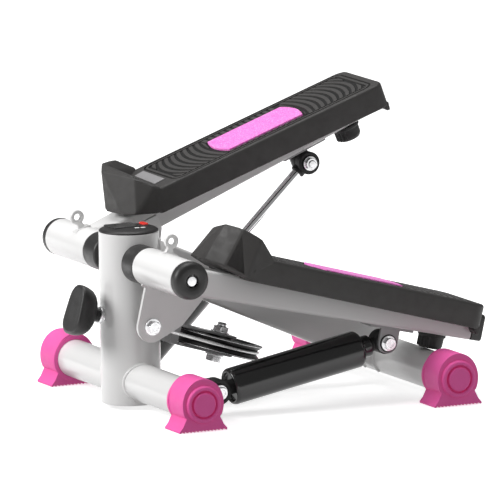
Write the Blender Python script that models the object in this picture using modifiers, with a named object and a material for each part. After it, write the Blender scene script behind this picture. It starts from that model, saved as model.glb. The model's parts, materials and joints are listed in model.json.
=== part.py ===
"""Mini stepper: two foot pedals on a cross axle, a shared cable and pulley, and a damper under each pedal.

The machine stands on +Z up with its post, knob and console at -Y and the pedals' heels at +Y. The left
pedal (+X) is at the bottom of its stroke and the right one (-X) at the top. Everything is laid out from
the foot of the post, and one empty puts the middle of the whole machine's box at the world's origin.
Left and right pieces come from the same functions, with side = 1 for left and side = -1 for right.
"""

import math

import bmesh
import bpy
from mathutils import Matrix, Vector

MM = 0.001
GAP = 0.3  # between touching pieces, mm like every size below

MIDDLE_Y = 135.082  # middle of the whole machine's length, from the post's centre
POST_RADIUS, POST_WALL, POST_LOW, POST_TOP = 30.0, 2.5, 4.4, 176.5
TUBE_RADIUS, TUBE_WALL, TUBE_HALF, TUBE_HEIGHT = 19.0, 2.0, 166.0, 27.2
WHEELBASE = 281.0
AXLE_Y, AXLE_Z, AXLE_RADIUS = -5.0, 149.0, 8.0
LEFT_ANGLE, RIGHT_ANGLE = -13.2, 22.0  # pedal arms above level, degrees
PLATE_ANGLE = -2.5  # foot plate against its arm
SLEEVE_IN, SLEEVE_OUT, SLEEVE_BORE = 58.0, 146.0, 16.5
ARM_IN, ARM_OUT, ARM_LOW, ARM_TOP, ARM_END = 78.0, 116.0, -17.3, 9.7, 338.0
DAMPER_X, EYE_HALF = 93.35, 9.35
UPPER_PIN = (253.0, -34.0)  # along and above the arm's own axes
LOWER_PIN = (49.0, 24.5)  # Y and Z from the post's foot
CYLINDER_FROM, CYLINDER_TO, COLLAR_TO, CYLINDER_RADIUS = 15.0, 161.0, 172.4, 18.7
PULLEY_CENTRE, PULLEY_TILT, PULLEY_RADIUS = (96.0, 54.5), 17.0, 45.0
CABLE_RADIUS, GROOVE_RADIUS = 1.6, 41.5
CABLE_BOLT = (14.0, -58.0)  # like UPPER_PIN
CABLE_END = 44.6  # the cable stops beside the nut
PLATE_IN, PLATE_OUT, PLATE_HEEL, PLATE_LOW, PLATE_TOP = 40.0, 135.0, 341.0, 10.5, 35.5

for old in list(bpy.data.objects):
    bpy.data.objects.remove(old, do_unlink=True)
parts = bpy.data.collections.new("stepper")
cutters = bpy.data.collections.new("stepper_cutters")
bpy.context.scene.collection.children.link(parts)
bpy.context.scene.collection.children.link(cutters)


def paint(name, colour, roughness, metallic=0.0):
    """A Principled material."""
    material = bpy.data.materials.new(name)
    material.use_nodes = True
    shader = material.node_tree.nodes["Principled BSDF"]
    shader.inputs["Base Color"].default_value = (*colour, 1.0)
    shader.inputs["Roughness"].default_value = roughness
    shader.inputs["Metallic"].default_value = metallic
    material.diffuse_color = (*colour, 1.0)
    return material


WHITE = paint("white_powder_coat", (0.86, 0.86, 0.86), 0.3)
BLACK = paint("black_plastic", (0.035, 0.033, 0.032), 0.5)
GLOSS = paint("black_enamel", (0.012, 0.012, 0.012), 0.22)
PINK = paint("pink_rubber", (0.93, 0.13, 0.42), 0.55)
MAT = paint("pink_grip", (0.95, 0.16, 0.72), 0.85)
STEEL = paint("zinc_steel", (0.72, 0.72, 0.73), 0.3, 1.0)
CHROME = paint("chrome", (0.85, 0.85, 0.86), 0.08, 1.0)
GREY = paint("grey_steel", (0.42, 0.42, 0.43), 0.35, 0.6)
RUBBER = paint("black_rubber", (0.02, 0.02, 0.02), 0.75)
RED = paint("red_button", (0.8, 0.04, 0.03), 0.4)
GLASS = paint("dark_display", (0.02, 0.03, 0.03), 0.1)


def empty(name, parent=None, location=(0, 0, 0), angle=0.0):
    """An axis to hang pieces on, turned by angle degrees about X."""
    node = bpy.data.objects.new(name, None)
    node.empty_display_size = 0.03
    node.location = Vector(location) * MM
    node.rotation_euler.x = math.radians(angle)
    node.parent = parent
    parts.objects.link(node)
    return node


def place(data, name, material, parent, location=(0, 0, 0), turn=(0, 0, 0), cutter=False):
    """Puts a mesh or curve in its collection, under its parent."""
    node = bpy.data.objects.new(name, data)
    node.parent = parent
    node.location = Vector(location) * MM
    node.rotation_euler = [math.radians(angle) for angle in turn]
    if cutter:
        node.hide_render = True
        node.display_type = "WIRE"
        cutters.objects.link(node)
    else:
        data.materials.append(material)
        parts.objects.link(node)
    return node


def box(name, low, high, material=None, parent=None, bevel=0.0, segments=1, **options):
    """A block between two corners."""
    bm = bmesh.new()
    bmesh.ops.create_cube(bm, size=1.0)
    size = [(b - a) * MM for a, b in zip(low, high)]
    bmesh.ops.scale(bm, vec=size, verts=bm.verts)
    mesh = bpy.data.meshes.new(name)
    bm.to_mesh(mesh)
    bm.free()
    middle = [(a + b) / 2 for a, b in zip(low, high)]
    node = place(mesh, name, material, parent, middle, **options)
    if bevel:
        round_edges(node, bevel, segments)
    return node


def round_edges(node, width, segments=1, angle=40):
    """A Bevel on the edges sharper than angle."""
    bevel = node.modifiers.new("Bevel", "BEVEL")
    bevel.width = width * MM
    bevel.segments = segments
    bevel.limit_method = "ANGLE"
    bevel.angle_limit = math.radians(angle)
    bevel.use_clamp_overlap = True


AXES = {"+X": (0, 90, 0), "-X": (0, -90, 0), "+Y": (-90, 0, 0), "-Y": (90, 0, 0), "+Z": (0, 0, 0)}


def across(side):
    """The outward direction on this side."""
    return "+X" if side > 0 else "-X"


def prism(name, sides, radius, low, high, axis, centre, material=None, parent=None, **options):
    """A regular bar along axis, such as a hexagon or a drill."""
    bm = bmesh.new()
    bmesh.ops.create_cone(
        bm, cap_ends=True, segments=sides, radius1=radius * MM, radius2=radius * MM, depth=(high - low) * MM
    )
    bmesh.ops.translate(bm, verts=bm.verts, vec=(0, 0, (low + high) / 2 * MM))
    mesh = bpy.data.meshes.new(name)
    bm.to_mesh(mesh)
    bm.free()
    return place(mesh, name, material, parent, centre, AXES[axis], **options)


def turned(name, profile, axis, centre, material=None, parent=None, steps=32, loop=False, **options):
    """A lathe shape: (radius, height) points down its outer side, with heights measured along axis."""
    bm = bmesh.new()
    points = [bm.verts.new((r * MM, 0, h * MM)) for r, h in profile]
    pairs = list(zip(points, points[1:])) + ([(points[-1], points[0])] if loop else [])
    for a, b in pairs:
        bm.edges.new((a, b))
    mesh = bpy.data.meshes.new(name)
    bm.to_mesh(mesh)
    bm.free()
    node = place(mesh, name, material, parent, centre, AXES[axis], **options)
    screw = node.modifiers.new("Screw", "SCREW")
    screw.axis = "Z"
    screw.steps = screw.render_steps = steps
    screw.use_merge_vertices = True
    screw.merge_threshold = 0.00005
    screw.use_smooth_shade = True
    return node


def tube(name, outer, inner, low, high, axis, centre, material=None, parent=None, steps=36, **options):
    """A straight pipe with square ends."""
    loop = [(outer, high), (outer, low), (inner, low), (inner, high)]
    return turned(name, loop, axis, centre, material, parent, steps, loop=True, **options)


def arc(centre, radius, start, end, count):
    """Points along an arc, in degrees."""
    angles = [math.radians(start + (end - start) * i / (count - 1)) for i in range(count)]
    return [(centre[0] + radius * math.cos(a), centre[1] + radius * math.sin(a)) for a in angles]


def flat(name, outlines, low, high, material=None, parent=None, plane="side", **options):
    """A flat outline given a thickness: plane side holds (Y, Z) and runs along X, plan holds (X, Y)."""
    curve = bpy.data.curves.new(name, "CURVE")
    curve.dimensions = "2D"
    curve.fill_mode = "BOTH"
    curve.extrude = abs(high - low) / 2 * MM
    for outline in outlines:
        spline = curve.splines.new("POLY")
        spline.points.add(len(outline) - 1)
        for point, (a, b) in zip(spline.points, outline):
            point.co = (a * MM, b * MM, 0, 1)
        spline.use_cyclic_u = True
    middle = (low + high) / 2
    if plane == "side":
        node = place(curve, name + "_flat", None, parent, (middle, 0, 0), (90, 0, 90), cutter=True)
    else:
        node = place(curve, name + "_flat", None, parent, (0, 0, middle), cutter=True)
    return as_mesh(node, name, material, parent, **options)


def as_mesh(source, name, material, parent, **options):
    """The curve's evaluated shape as a welded mesh object in its place."""
    mesh = bpy.data.meshes.new_from_object(source.evaluated_get(bpy.context.evaluated_depsgraph_get()))
    mesh.name = name
    mesh.materials.clear()
    bm = bmesh.new()
    bm.from_mesh(mesh)
    bmesh.ops.remove_doubles(bm, verts=bm.verts, dist=0.00002)
    bmesh.ops.dissolve_limit(bm, angle_limit=math.radians(0.5), verts=bm.verts, edges=bm.edges)
    bmesh.ops.recalc_face_normals(bm, faces=bm.faces)
    bm.to_mesh(mesh)
    bm.free()
    turn = [math.degrees(angle) for angle in source.rotation_euler]
    node = place(mesh, name, material, parent, source.location / MM, turn, **options)
    bpy.data.objects.remove(source)
    return node


def combine(node, other, operation):
    """An exact Boolean with another solid, which becomes a hidden guide."""
    if other.name in parts.objects:
        parts.objects.unlink(other)
        cutters.objects.link(other)
    other.hide_render = True
    other.display_type = "WIRE"
    modifier = node.modifiers.new(operation.title(), "BOOLEAN")
    modifier.operation = operation
    modifier.solver = "EXACT"
    modifier.object = other


def cut(node, other):
    combine(node, other, "DIFFERENCE")


def join(node, other):
    combine(node, other, "UNION")


def rounded(low, high, radius, count=4):
    """A rounded rectangle's outline."""
    (x0, y0), (x1, y1), r = low, high, radius
    corners = [
        ((x1 - r, y0 + r), -90), ((x1 - r, y1 - r), 0), ((x0 + r, y1 - r), 90), ((x0 + r, y0 + r), 180)
    ]
    return [point for centre, start in corners for point in arc(centre, r, start, start + 90, count)]


def mirrored(points, side):
    """The outline with its first coordinate on the given side."""
    return [(side * a, b) for a, b in points][::side]


def span(side, low, high):
    """Two X positions in rising order on the given side."""
    return sorted((side * low, side * high))


def side_box(name, side, low, high, *args, **options):
    """A box whose X range is given for the left side."""
    xs = span(side, low[0], high[0])
    return box(name, (xs[0], *low[1:]), (xs[1], *high[1:]), *args, **options)


def hex_bolt(name, side, washer, head, shank, centre, parent, material=STEEL):
    """A hexagon head with its washer and shank, with heights given outwards along X."""
    (w_low, w_high, w_radius), (h_high, h_radius), (s_low, s_radius) = washer, head, shank
    profile = [
        (0, w_high), (w_radius, w_high), (w_radius, w_low), (s_radius, w_low), (s_radius, s_low),
        (0, s_low),
    ]
    bolt = turned(name, profile, across(side), centre, material, parent, 20)
    join(
        bolt,
        prism(
            name + "_hex", 6, h_radius, w_high - 0.4, h_high, across(side), centre, None, parent,
            cutter=True,
        ),
    )
    return bolt


def frame(base):
    """Post, cross tubes, sloping beam, axle and the four feet."""
    post = tube(
        "front_post", POST_RADIUS, POST_RADIUS - POST_WALL, POST_LOW, POST_TOP, "+Z", (0, 0, 0),
        WHITE, base, 44,
    )
    low = (0, 0, TUBE_HEIGHT)
    cut(
        post, prism("post_tube_hole", 32, TUBE_RADIUS + GAP, -60, 60, "+X", low, parent=base, cutter=True)
    )
    axle = (0, AXLE_Y, AXLE_Z)
    cut(
        post,
        prism("post_axle_hole", 18, AXLE_RADIUS + GAP, -60, 60, "+X", axle, parent=base, cutter=True),
    )
    for name, y in (("front_cross_tube", 0.0), ("rear_cross_tube", WHEELBASE)):
        centre = (0, y, TUBE_HEIGHT)
        tube(name, TUBE_RADIUS, TUBE_RADIUS - TUBE_WALL, -TUBE_HALF, TUBE_HALF, "+X", centre, WHITE, base)
    main_beam(base)
    ends = [(5.0, 156.0), (5.0, 150.0), (AXLE_RADIUS, 150.0)]
    profile = [(0, 156.0), *ends, *[(r, -h) for r, h in reversed(ends)], (0, -156.0)]
    turned("pedal_axle", profile, "+X", axle, STEEL, base, 24)
    for side in (1, -1):
        for place_name, y in (("front", 0.0), ("rear", WHEELBASE)):
            foot(f"{place_name}_{'left' if side > 0 else 'right'}_foot", side, y, base)
    return post


def main_beam(base):
    """The rectangular tube from the back of the post down to the rear cross tube."""
    middle, angle = (82.5, 120.4), -24.3
    beam_axis = empty("beam_axis", base, (0, *middle), angle)
    beam = flat("main_beam", [rounded((-15, -20), (15, 20), 3, 3)], -62, 218, WHITE, beam_axis, "plan")
    cut(
        beam,
        flat(
            "beam_bore", [rounded((-13, -18), (13, 18), 1.5, 2)], -90, 260, None, beam_axis,
            "plan", cutter=True,
        ),
    )
    for piece in [beam] + [node for node in cutters.objects if node.name == "beam_bore"]:
        piece.rotation_euler.x = math.radians(-90)
        piece.location = (0, piece.location.z, 0)
    post = prism(
        "beam_post_end", 44, POST_RADIUS + GAP, 0, 240, "+Z", (0, 0, 0), parent=base, cutter=True
    )
    rear = (0, WHEELBASE, TUBE_HEIGHT)
    cut(beam, post)
    cut(
        beam, prism("beam_tube_end", 40, TUBE_RADIUS + GAP, -60, 60, "+X", rear, parent=base, cutter=True)
    )


def foot(name, side, y, base):
    """A rubber cap over a cross tube's end, on a flared and toothed pad."""
    width, top = 22.5, 25.5  # half width and height above the tube's line
    dome = [(width * a, TUBE_HEIGHT + top * b) for a, b in arc((0, 0), 1.0, -27, 207, 21)]
    teeth = []
    for x in (-20, -16, -12, 0, 12, 16, 20):
        half = 1.1 if x else 9.1
        teeth += [(x - half - 0.9, 1.5 - 0.0008 * x**2), (x - half, 0.0), (x + half, 0.0)]
    outline = dome + [(-18.0, 14.6), (-26.0, 1.6), (-26.0, 0.0), (-23.0, 0.0)] + teeth
    outline += [(22.0, 1.1), (23.0, 0.0), (26.0, 0.0), (26.0, 1.6), (18.0, 14.6)]
    at = empty(name + "_at", base, (0, y, 0))
    body = flat(name, [outline], *span(side, 132, 168), PINK, at)
    plate = [
        (0, 171.4), (11.6, 171.4), (12.2, 170.8), (12.2, 169.4), (13.4, 169.4), (14.0, 170.4),
        (17.6, 170.4), (18.4, 169.8), (18.4, 167.5), (0, 167.5),
    ]
    centre = (0, 0, TUBE_HEIGHT)
    join(body, turned(name + "_disc", plate, across(side), centre, None, at, 24, cutter=True))
    cut(
        body,
        prism(
            name + "_socket", 30, TUBE_RADIUS + GAP, 120, TUBE_HALF + GAP, across(side), centre,
            parent=at, cutter=True,
        ),
    )
    for y0, y1 in ((-15.5, -1.2), (1.2, 15.5)):
        cut(
            body,
            side_box(
                f"{name}_hollow{y1:.0f}", side, (125, y0, 2.4), (163, y1, 7.4), parent=at, cutter=True
            ),
        )


def console(base):
    """The round cap on the post with its display and button."""
    body = [
        (0, 180.4), (26.0, 180.4), (28.6, 179.8), (29.9, 178.4), (29.9, POST_TOP + GAP),
        (27.2, POST_TOP + GAP), (27.2, 166.0), (0, 166.0),
    ]
    housing = turned("console_housing", body, "+Z", (0, 0, 0), BLACK, base, 40)
    cut(housing, box("display_recess", (-18.3, -18.3, 178.9), (6.3, 10.3, 190), parent=base, cutter=True))
    box("console_display", (-18, -18, 179.2), (6, 10, 180.3), GLASS, base, 0.4)
    button = rounded((-7, -3), (7, 3), 2.99, 6)
    hole = rounded((-7.3, -3.3), (7.3, 3.3), 3.29, 6)
    at = empty("button_at", base, (-6, 19.5, 0))
    cut(housing, flat("button_hole", [hole], 174.5, 190, None, at, "plan", cutter=True))
    flat("console_button", [button], 176.2, 181.6, RED, at, "plan")


def adjuster(base, post):
    """Knob, screw, bracket and grooved wheel, all on one tilted line through the post."""
    line = empty("adjuster_axis", base, (0, *PULLEY_CENTRE), 90 - PULLEY_TILT)
    cut(post, prism("post_screw_hole", 20, 5.6, 50, 150, "+Z", (0, 0, 0), parent=line, cutter=True))
    screw = [(0, 148.0), (5.0, 148.0), (5.0, 52.0), (4.0, 51.0), (0, 51.0)]
    turned("adjuster_screw", screw, "+Z", (0, 0, 0), STEEL, line, 20)
    knob(line)
    half = 11.0
    ring = rounded((-12, -16), (12, 57.5), 6, 4)
    bracket = flat("pulley_bracket", [ring], -half - 3, half + 3, GREY, line, "plan")
    bracket.rotation_euler.x = math.radians(90)
    bracket.location = (0, 0, 0)
    slot = box("bracket_slot", (-20, -half + 2.6, -30), (20, half - 2.6, 49.2), parent=line, cutter=True)
    cut(bracket, slot)
    cut(bracket, prism("bracket_screw_hole", 20, 5.4, 30, 80, "+Z", (0, 0, 0), parent=line, cutter=True))
    for name, low, high in (("waist_top", half - 0.4, 20), ("waist_low", -20, -half + 0.4)):
        cut(bracket, box(name, (-20, low, -30), (20, high, 70), parent=line, cutter=True))
    cut(bracket, prism("bracket_pin_hole", 20, 5.4, -40, 40, "+Y", (0, 0, 0), parent=line, cutter=True))
    pulley_bolt(line, half)
    wheel = [
        (PULLEY_RADIUS, 7.4), (PULLEY_RADIUS, 6.2), (GROOVE_RADIUS + 0.4, 4.0), (GROOVE_RADIUS - 2.2, 2.4)
    ]
    wheel += [(r, -h) for r, h in reversed(wheel)]
    hub = [(12.0, -7.9), (5.4, -7.9), (5.4, 7.9), (12.0, 7.9), (13.0, 5.0), (36.0, 5.0), (38.0, 7.4)]
    lower = [(38.0, -7.4), (36.0, -5.0), (13.0, -5.0)]
    turned("pulley_wheel", wheel + lower + hub, "+Y", (0, 0, 0), BLACK, line, 36, loop=True)


def pulley_bolt(line, half):
    """The wheel's pin, with its head below and its nut above."""
    top = half - 0.4 + GAP
    profile = [(0, 21.0), (5.0, 21.0), (5.0, -top), (9.0, -top), (9.0, -top - 1.6), (0, -top - 1.6)]
    bolt = turned("pulley_bolt", profile, "+Y", (0, 0, 0), STEEL, line, 20)
    join(
        bolt,
        prism(
            "pulley_bolt_hex", 6, 8.6, -top - 8.0, -top - 1.2, "+Y", (0, 0, 0), parent=line, cutter=True
        ),
    )
    nut = prism("pulley_nut", 6, 8.6, top, top + 6.6, "+Y", (0, 0, 0), STEEL, line)
    cut(nut, prism("pulley_nut_bore", 20, 5.3, 0, 40, "+Y", (0, 0, 0), parent=line, cutter=True))


def knob(line):
    """The hand knob: an oval of rounded sections from the neck to the broad front."""
    sections = [
        (134.6, 6.2, 6.2), (140.0, 7.0, 6.6), (144.0, 15.0, 10.0), (149.0, 21.0, 14.5),
        (156.0, 24.0, 17.0),
    ]
    sections += [(163.0, 25.5, 18.0), (165.0, 24.0, 16.5)]
    bm = bmesh.new()
    rings = []
    for height, tall, wide in sections:
        square = 0.35 if tall > 10 else 1.0
        ring = []
        for i in range(28):
            a = 2 * math.pi * i / 28
            c, s = math.cos(a), math.sin(a)
            power = 0.5 + 0.5 * square
            x = wide * math.copysign(abs(c) ** power, c)
            y = tall * math.copysign(abs(s) ** power, s)
            ring.append(bm.verts.new((x * (1 - 0.16 * y / 26) * MM, y * MM, height * MM)))
        rings.append(ring)
    for low, high in zip(rings, rings[1:]):
        for i in range(28):
            j = (i + 1) % 28
            bm.faces.new((low[i], low[j], high[j], high[i]))
    bm.faces.new(rings[0][::-1])
    bm.faces.new(rings[-1])
    mesh = bpy.data.meshes.new("adjuster_knob")
    bm.to_mesh(mesh)
    bm.free()
    node = place(mesh, "adjuster_knob", BLACK, line)
    cut(node, prism("knob_bore", 20, 5.3, 120, 148.3, "+Z", (0, 0, 0), parent=line, cutter=True))


def rotate(point, degrees):
    """A (Y, Z) pair turned about X."""
    a = math.radians(degrees)
    return (
        point[0] * math.cos(a) - point[1] * math.sin(a), point[0] * math.sin(a) + point[1] * math.cos(a)
    )


def on_pedal(point, angle):
    """Where a point of the pedal's own axes stands, from the post's foot."""
    y, z = rotate(point, angle)
    return (AXLE_Y + y, AXLE_Z + z)


def pedal(side, angle, base):
    """Sleeve, arm and everything that swings with them."""
    name = "left" if side > 0 else "right"
    hinge = empty(name + "_pedal_axis", base, (0, AXLE_Y, AXLE_Z), angle)
    out = across(side)
    tube(
        name + "_pivot_sleeve", TUBE_RADIUS, SLEEVE_BORE, SLEEVE_IN, SLEEVE_OUT, out, (0, 0, 0),
        WHITE, hinge,
    )
    bore, plug = AXLE_RADIUS + GAP, SLEEVE_BORE - GAP
    bush = [
        (18.4, SLEEVE_IN - GAP), (19.0, SLEEVE_IN - 1.2), (19.0, 32.0), (18.0, 31.0), (bore, 31.0),
        (bore, 72.0),
    ]
    bush += [(plug, 72.0), (plug, SLEEVE_IN - GAP)]
    turned(name + "_inner_bush", bush, out, (0, 0, 0), BLACK, hinge, 30, loop=True)
    cap = [
        (6.5, 158.0), (13.5, 158.5), (17.0, 157.4), (18.8, 154.6), (18.8, SLEEVE_OUT + GAP),
        (plug, SLEEVE_OUT + GAP),
    ]
    cap += [(plug, 133.0), (bore, 133.0), (bore, 151.0), (6.5, 151.0)]
    turned(name + "_outer_cap", cap, out, (0, 0, 0), BLACK, hinge, 30, loop=True)
    band_eye(name, side, hinge)
    gusset(name, side, hinge)
    arm(name, side, hinge)
    foot_plate(name, side, hinge)
    clevis(name, side, hinge)


def band_eye(name, side, hinge):
    """The ring for an elastic band, standing on the sleeve."""
    centre, ring = (2.0, 31.0), 7.4
    outer = arc(centre, ring, -50, 230, 21)
    outline = [(5.0, TUBE_RADIUS - 0.4)] + outer + [(-1.0, TUBE_RADIUS + 0.2)]
    eye = flat(
        name + "_band_eye", [outline, arc(centre, 3.4, 360, 20, 16)], *span(side, 87.5, 92.5),
        WHITE, hinge,
    )
    cut(
        eye,
        prism(
            name + "_eye_seat", 40, TUBE_RADIUS + GAP, -160, 160, "+X", (0, 0, 0), parent=hinge,
            cutter=True,
        ),
    )


def gusset(name, side, hinge):
    """The plate under the sleeve that pulls the cable, and its bolt."""
    lobe = arc(CABLE_BOLT, 16.0, 180, 308, 12)
    outline = [(-2.0, -17.0)] + lobe + [(46.7, -52.0), (70.5, -11.0), (70.5, 4.0), (10.0, 4.0)]
    xs = span(side, SLEEVE_IN + 0.2, SLEEVE_IN + 4.2)
    plate = flat(name + "_gusset", [outline, arc(CABLE_BOLT, 4.4, 360, 24, 15)], *xs, WHITE, hinge)
    seat = prism(
        name + "_gusset_seat", 40, TUBE_RADIUS + GAP, -160, 160, "+X", (0, 0, 0), parent=hinge,
        cutter=True,
    )
    cut(plate, seat)
    centre = (0, *CABLE_BOLT)
    bolt = hex_bolt(
        name + "_cable_bolt", side, (62.5, 64.2, 8.0), (69.0, 6.4), (46.9, 4.0), centre, hinge
    )
    join(
        bolt,
        prism(name + "_cable_nut", 20, 8.6, 47.0, 57.9, across(side), centre, None, hinge, cutter=True),
    )


def arm(name, side, hinge):
    """The rectangular tube with its end plug and its stop block."""
    low, high = (ARM_IN, ARM_LOW), (ARM_OUT, ARM_TOP)
    bar = flat(
        name + "_pedal_arm", [mirrored(rounded(low, high, 3.0, 3), side)], 0, ARM_END, WHITE,
        hinge, "plan",
    )
    hollow = (ARM_IN + 2, ARM_LOW + 2), (ARM_OUT - 2, ARM_TOP - 2)
    inside = flat(
        name + "_arm_bore", [mirrored(rounded(*hollow, 1.2, 2), side)], -10, 360, None, hinge,
        "plan", cutter=True,
    )
    for piece in (bar, inside):
        piece.location = (0, piece.location.z, 0)
        piece.rotation_euler.x = math.radians(-90)
        piece.data.transform(Matrix.Diagonal((1, -1, -1, 1)))
    cut(bar, inside)
    seat = prism(
        name + "_arm_seat", 40, TUBE_RADIUS + GAP, -160, 160, "+X", (0, 0, 0), parent=hinge, cutter=True
    )
    cut(bar, seat)
    xs = (ARM_IN, ARM_OUT)
    plug = side_box(
        name + "_arm_plug", side, (xs[0], ARM_END + GAP, ARM_LOW),
        (xs[1], ARM_END + 13.5, ARM_TOP), BLACK, hinge, 2.0,
    )
    stem = side_box(
        name + "_plug_stem", side, (xs[0] + 2.8, 326, ARM_LOW + 2.8),
        (xs[1] - 2.8, ARM_END + 2, ARM_TOP - 2.8), parent=hinge, cutter=True,
    )
    join(plug, stem)
    side_box(name + "_bumper", side, (80, 294, -33.5), (105, 320, ARM_LOW - GAP), RUBBER, hinge, 2.0, 2)


def clevis(name, side, hinge):
    """The bracket under the arm that carries the damper's upper bolt."""
    strip_low = ARM_LOW - GAP - 2.4
    bracket = side_box(
        name + "_upper_bracket", side, (84, 229, strip_low), (107, 279, ARM_LOW - GAP), GREY, hinge, 0.6
    )
    y, z = UPPER_PIN
    ear = [(y - 10.5, strip_low + 1.5)] + arc(UPPER_PIN, 10.5, 180, 360, 16) + [
        (y + 10.5, strip_low + 1.5)
    ]
    join(bracket, flat(name + "_bracket_ear", [ear], *span(side, 103.2, 106.7), None, hinge, cutter=True))
    cut(
        bracket,
        prism(name + "_ear_hole", 20, 4.5, 95, 120, across(side), (0, y, z), parent=hinge, cutter=True),
    )
    hex_bolt(
        name + "_upper_bolt", side, (107.3, 108.8, 7.6), (113.4, 6.2), (103.4, 4.0), (0, y, z), hinge
    )


def foot_plate(name, side, hinge):
    """The moulded shoe plate: deck, skirt, toe guard, heel and inside ribs."""
    tilt = (PLATE_ANGLE, 0, 0)
    plan = [(43.5, 66), (50, 46), (64, 38), (100, 35.5), (119, 49), (PLATE_OUT, 69), (PLATE_OUT - 3, 333)]
    plan += [(126, PLATE_HEEL), (46, PLATE_HEEL), (PLATE_IN - 1, 334)]
    shoe = empty(name + "_shoe_at", hinge, angle=PLATE_ANGLE)
    plate = flat(name + "_foot_plate", [mirrored(plan, side)], PLATE_LOW, PLATE_TOP, BLACK, shoe, "plan")
    round_edges(plate, 2.4, 2)
    plate.modifiers["Bevel"].limit_method = "WEIGHT"
    weights = plate.data.attributes.new("bevel_weight_edge", "FLOAT", "EDGE")
    for edge, weight in zip(plate.data.edges, weights.data):
        weight.value = float(all(plate.data.vertices[i].co.z > 0 for i in edge.vertices))
    join(plate, toe_guard(name, side, shoe))
    tail = side_box(
        name + "_heel_tail", side, (44, 333.5, 5.0), (128, PLATE_HEEL - 3.4, 14), parent=shoe, cutter=True
    )
    join(plate, tail)
    under = [(20, 0), (70, 0), (70, PLATE_LOW - 0.2), (49, 18.5), (20, 20)]
    cut(plate, flat(name + "_toe_under", [under], -150, 150, None, shoe, cutter=True))
    bays = ((76, 119), (123, 209), (213, 295), (299, 333.5))
    for index, (low, high) in enumerate(bays):
        cut(
            plate,
            side_box(
                f"{name}_bay{index}", side, (47, low, -5), (130.5, high, 30.5), parent=shoe, cutter=True
            ),
        )
    channel = side_box(
        name + "_channel", side, (ARM_IN - 0.6, 5, -60), (ARM_OUT + 0.6, 380, ARM_TOP + GAP),
        parent=hinge, cutter=True,
    )
    cut(plate, channel)
    cut(
        plate,
        flat(
            name + "_pad_seat", [mirrored(pad_outline(GAP), side)], 33.8, 50, None, shoe, "plan",
            cutter=True,
        ),
    )
    flat(name + "_grip_pad", [mirrored(pad_outline(0.0), side)], 34.1, 36.6, MAT, shoe, "plan")


def pad_outline(grow):
    """The grip pad in plan: straight sides and bowed ends."""
    left, right, front, rear, bow = 58 - grow, 109 + grow, 167 - grow, 254 + grow, 5.0
    steps = [i / 8 for i in range(9)]
    low = [(left + (right - left) * t, front - bow * math.sin(math.pi * t)) for t in steps]
    high = [(right + (left - right) * t, rear + bow * math.sin(math.pi * t)) for t in steps]
    return low + high


def toe_guard(name, side, shoe):
    """The raised toe: a solid wedge, high at the outer corner and falling inwards and backwards."""
    bottom = [(50, 46), (64, 38), (100, 35.5), (119, 49), (135, 69), (43.5, 66)]
    points = [(x, y, 19.0) for x, y in bottom] + [
        (104, 42, 62), (125, 58, 60), (135, 76, 55), (57, 60, 53)
    ]
    points += [(43.5, 72, 40), (43.5, 92, PLATE_TOP - 2), (135, 100, PLATE_TOP - 2)]
    bm = bmesh.new()
    middle, inset = Vector((88, 75, 30)), 0.008
    mirror = Vector((side, 1, 1)) * MM
    verts = [bm.verts.new(Vector(point).lerp(middle, inset) * mirror) for point in points]
    bmesh.ops.convex_hull(bm, input=verts)
    bmesh.ops.recalc_face_normals(bm, faces=bm.faces)
    mesh = bpy.data.meshes.new(name + "_toe_guard")
    bm.to_mesh(mesh)
    bm.free()
    guard = place(mesh, name + "_toe_guard", None, shoe, cutter=True)
    round_edges(guard, 1.6, 1, 18)
    return guard


def damper(side, angle, base):
    """One damper: the cylinder on its lower bolt, and the rod that slides out of it."""
    name = "left" if side > 0 else "right"
    top = on_pedal(UPPER_PIN, angle)
    run = (top[0] - LOWER_PIN[0], top[1] - LOWER_PIN[1])
    length, lean = math.hypot(*run), math.degrees(math.atan2(run[1], run[0]))
    swing = empty(name + "_damper_axis", base, (0, *LOWER_PIN), lean)
    centre = (side * DAMPER_X, 0, 0)
    bore, stop = 5.7, 78.0
    shape = [
        (bore, COLLAR_TO), (10.4, COLLAR_TO), (11.0, COLLAR_TO - 1), (11.0, CYLINDER_TO),
        (17.2, CYLINDER_TO),
    ]
    shape += [
        (CYLINDER_RADIUS, CYLINDER_TO - 2.5), (CYLINDER_RADIUS, CYLINDER_FROM + 1.5),
        (17.6, CYLINDER_FROM),
    ]
    shape += [
        (15.2, CYLINDER_FROM), (14.0, CYLINDER_FROM + 4), (7.8, CYLINDER_FROM + 4), (7.8, 27.0), (0, 27.0)
    ]
    turned(name + "_damper_cylinder", [(0, stop), (bore, stop)] + shape, "+Y", centre, GLOSS, swing, 28)
    eye(name + "_lower_eye", 13.0, (7.5, 8.0, 26.6), centre, swing)
    rod_at = empty(name + "_rod_at", swing, (0, length, 0))
    eye(name + "_upper_eye", 11.6, None, centre, rod_at)
    seat = prism(name + "_rod_socket", 20, 5.3, -30, -6.0, "+Y", centre, parent=rod_at, cutter=True)
    cut(parts.objects[name + "_upper_eye"], seat)
    turned(
        name + "_damper_rod", [(0, -6.4), (5.0, -6.4), (5.0, -104.0), (4.2, -105.0), (0, -105.0)],
        "+Y", centre, CHROME, rod_at, 20,
    )
    inner = DAMPER_X - EYE_HALF - GAP
    nut = [
        (0, -inner + 6.4), (4.0, -inner + 6.4), (4.0, -inner + 1.6), (7.4, -inner + 1.6),
        (7.4, -inner), (0, -inner),
    ]
    upper_nut = turned(name + "_upper_nut", nut, across(-side), (0, 0, 0), STEEL, rod_at, 20)
    join(
        upper_nut,
        prism(
            name + "_nut_hex", 6, 6.6, -inner + 1.2, -inner + 5.6, across(-side), (0, 0, 0),
            parent=rod_at, cutter=True,
        ),
    )
    lower_bracket(name, side, base)


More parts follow.
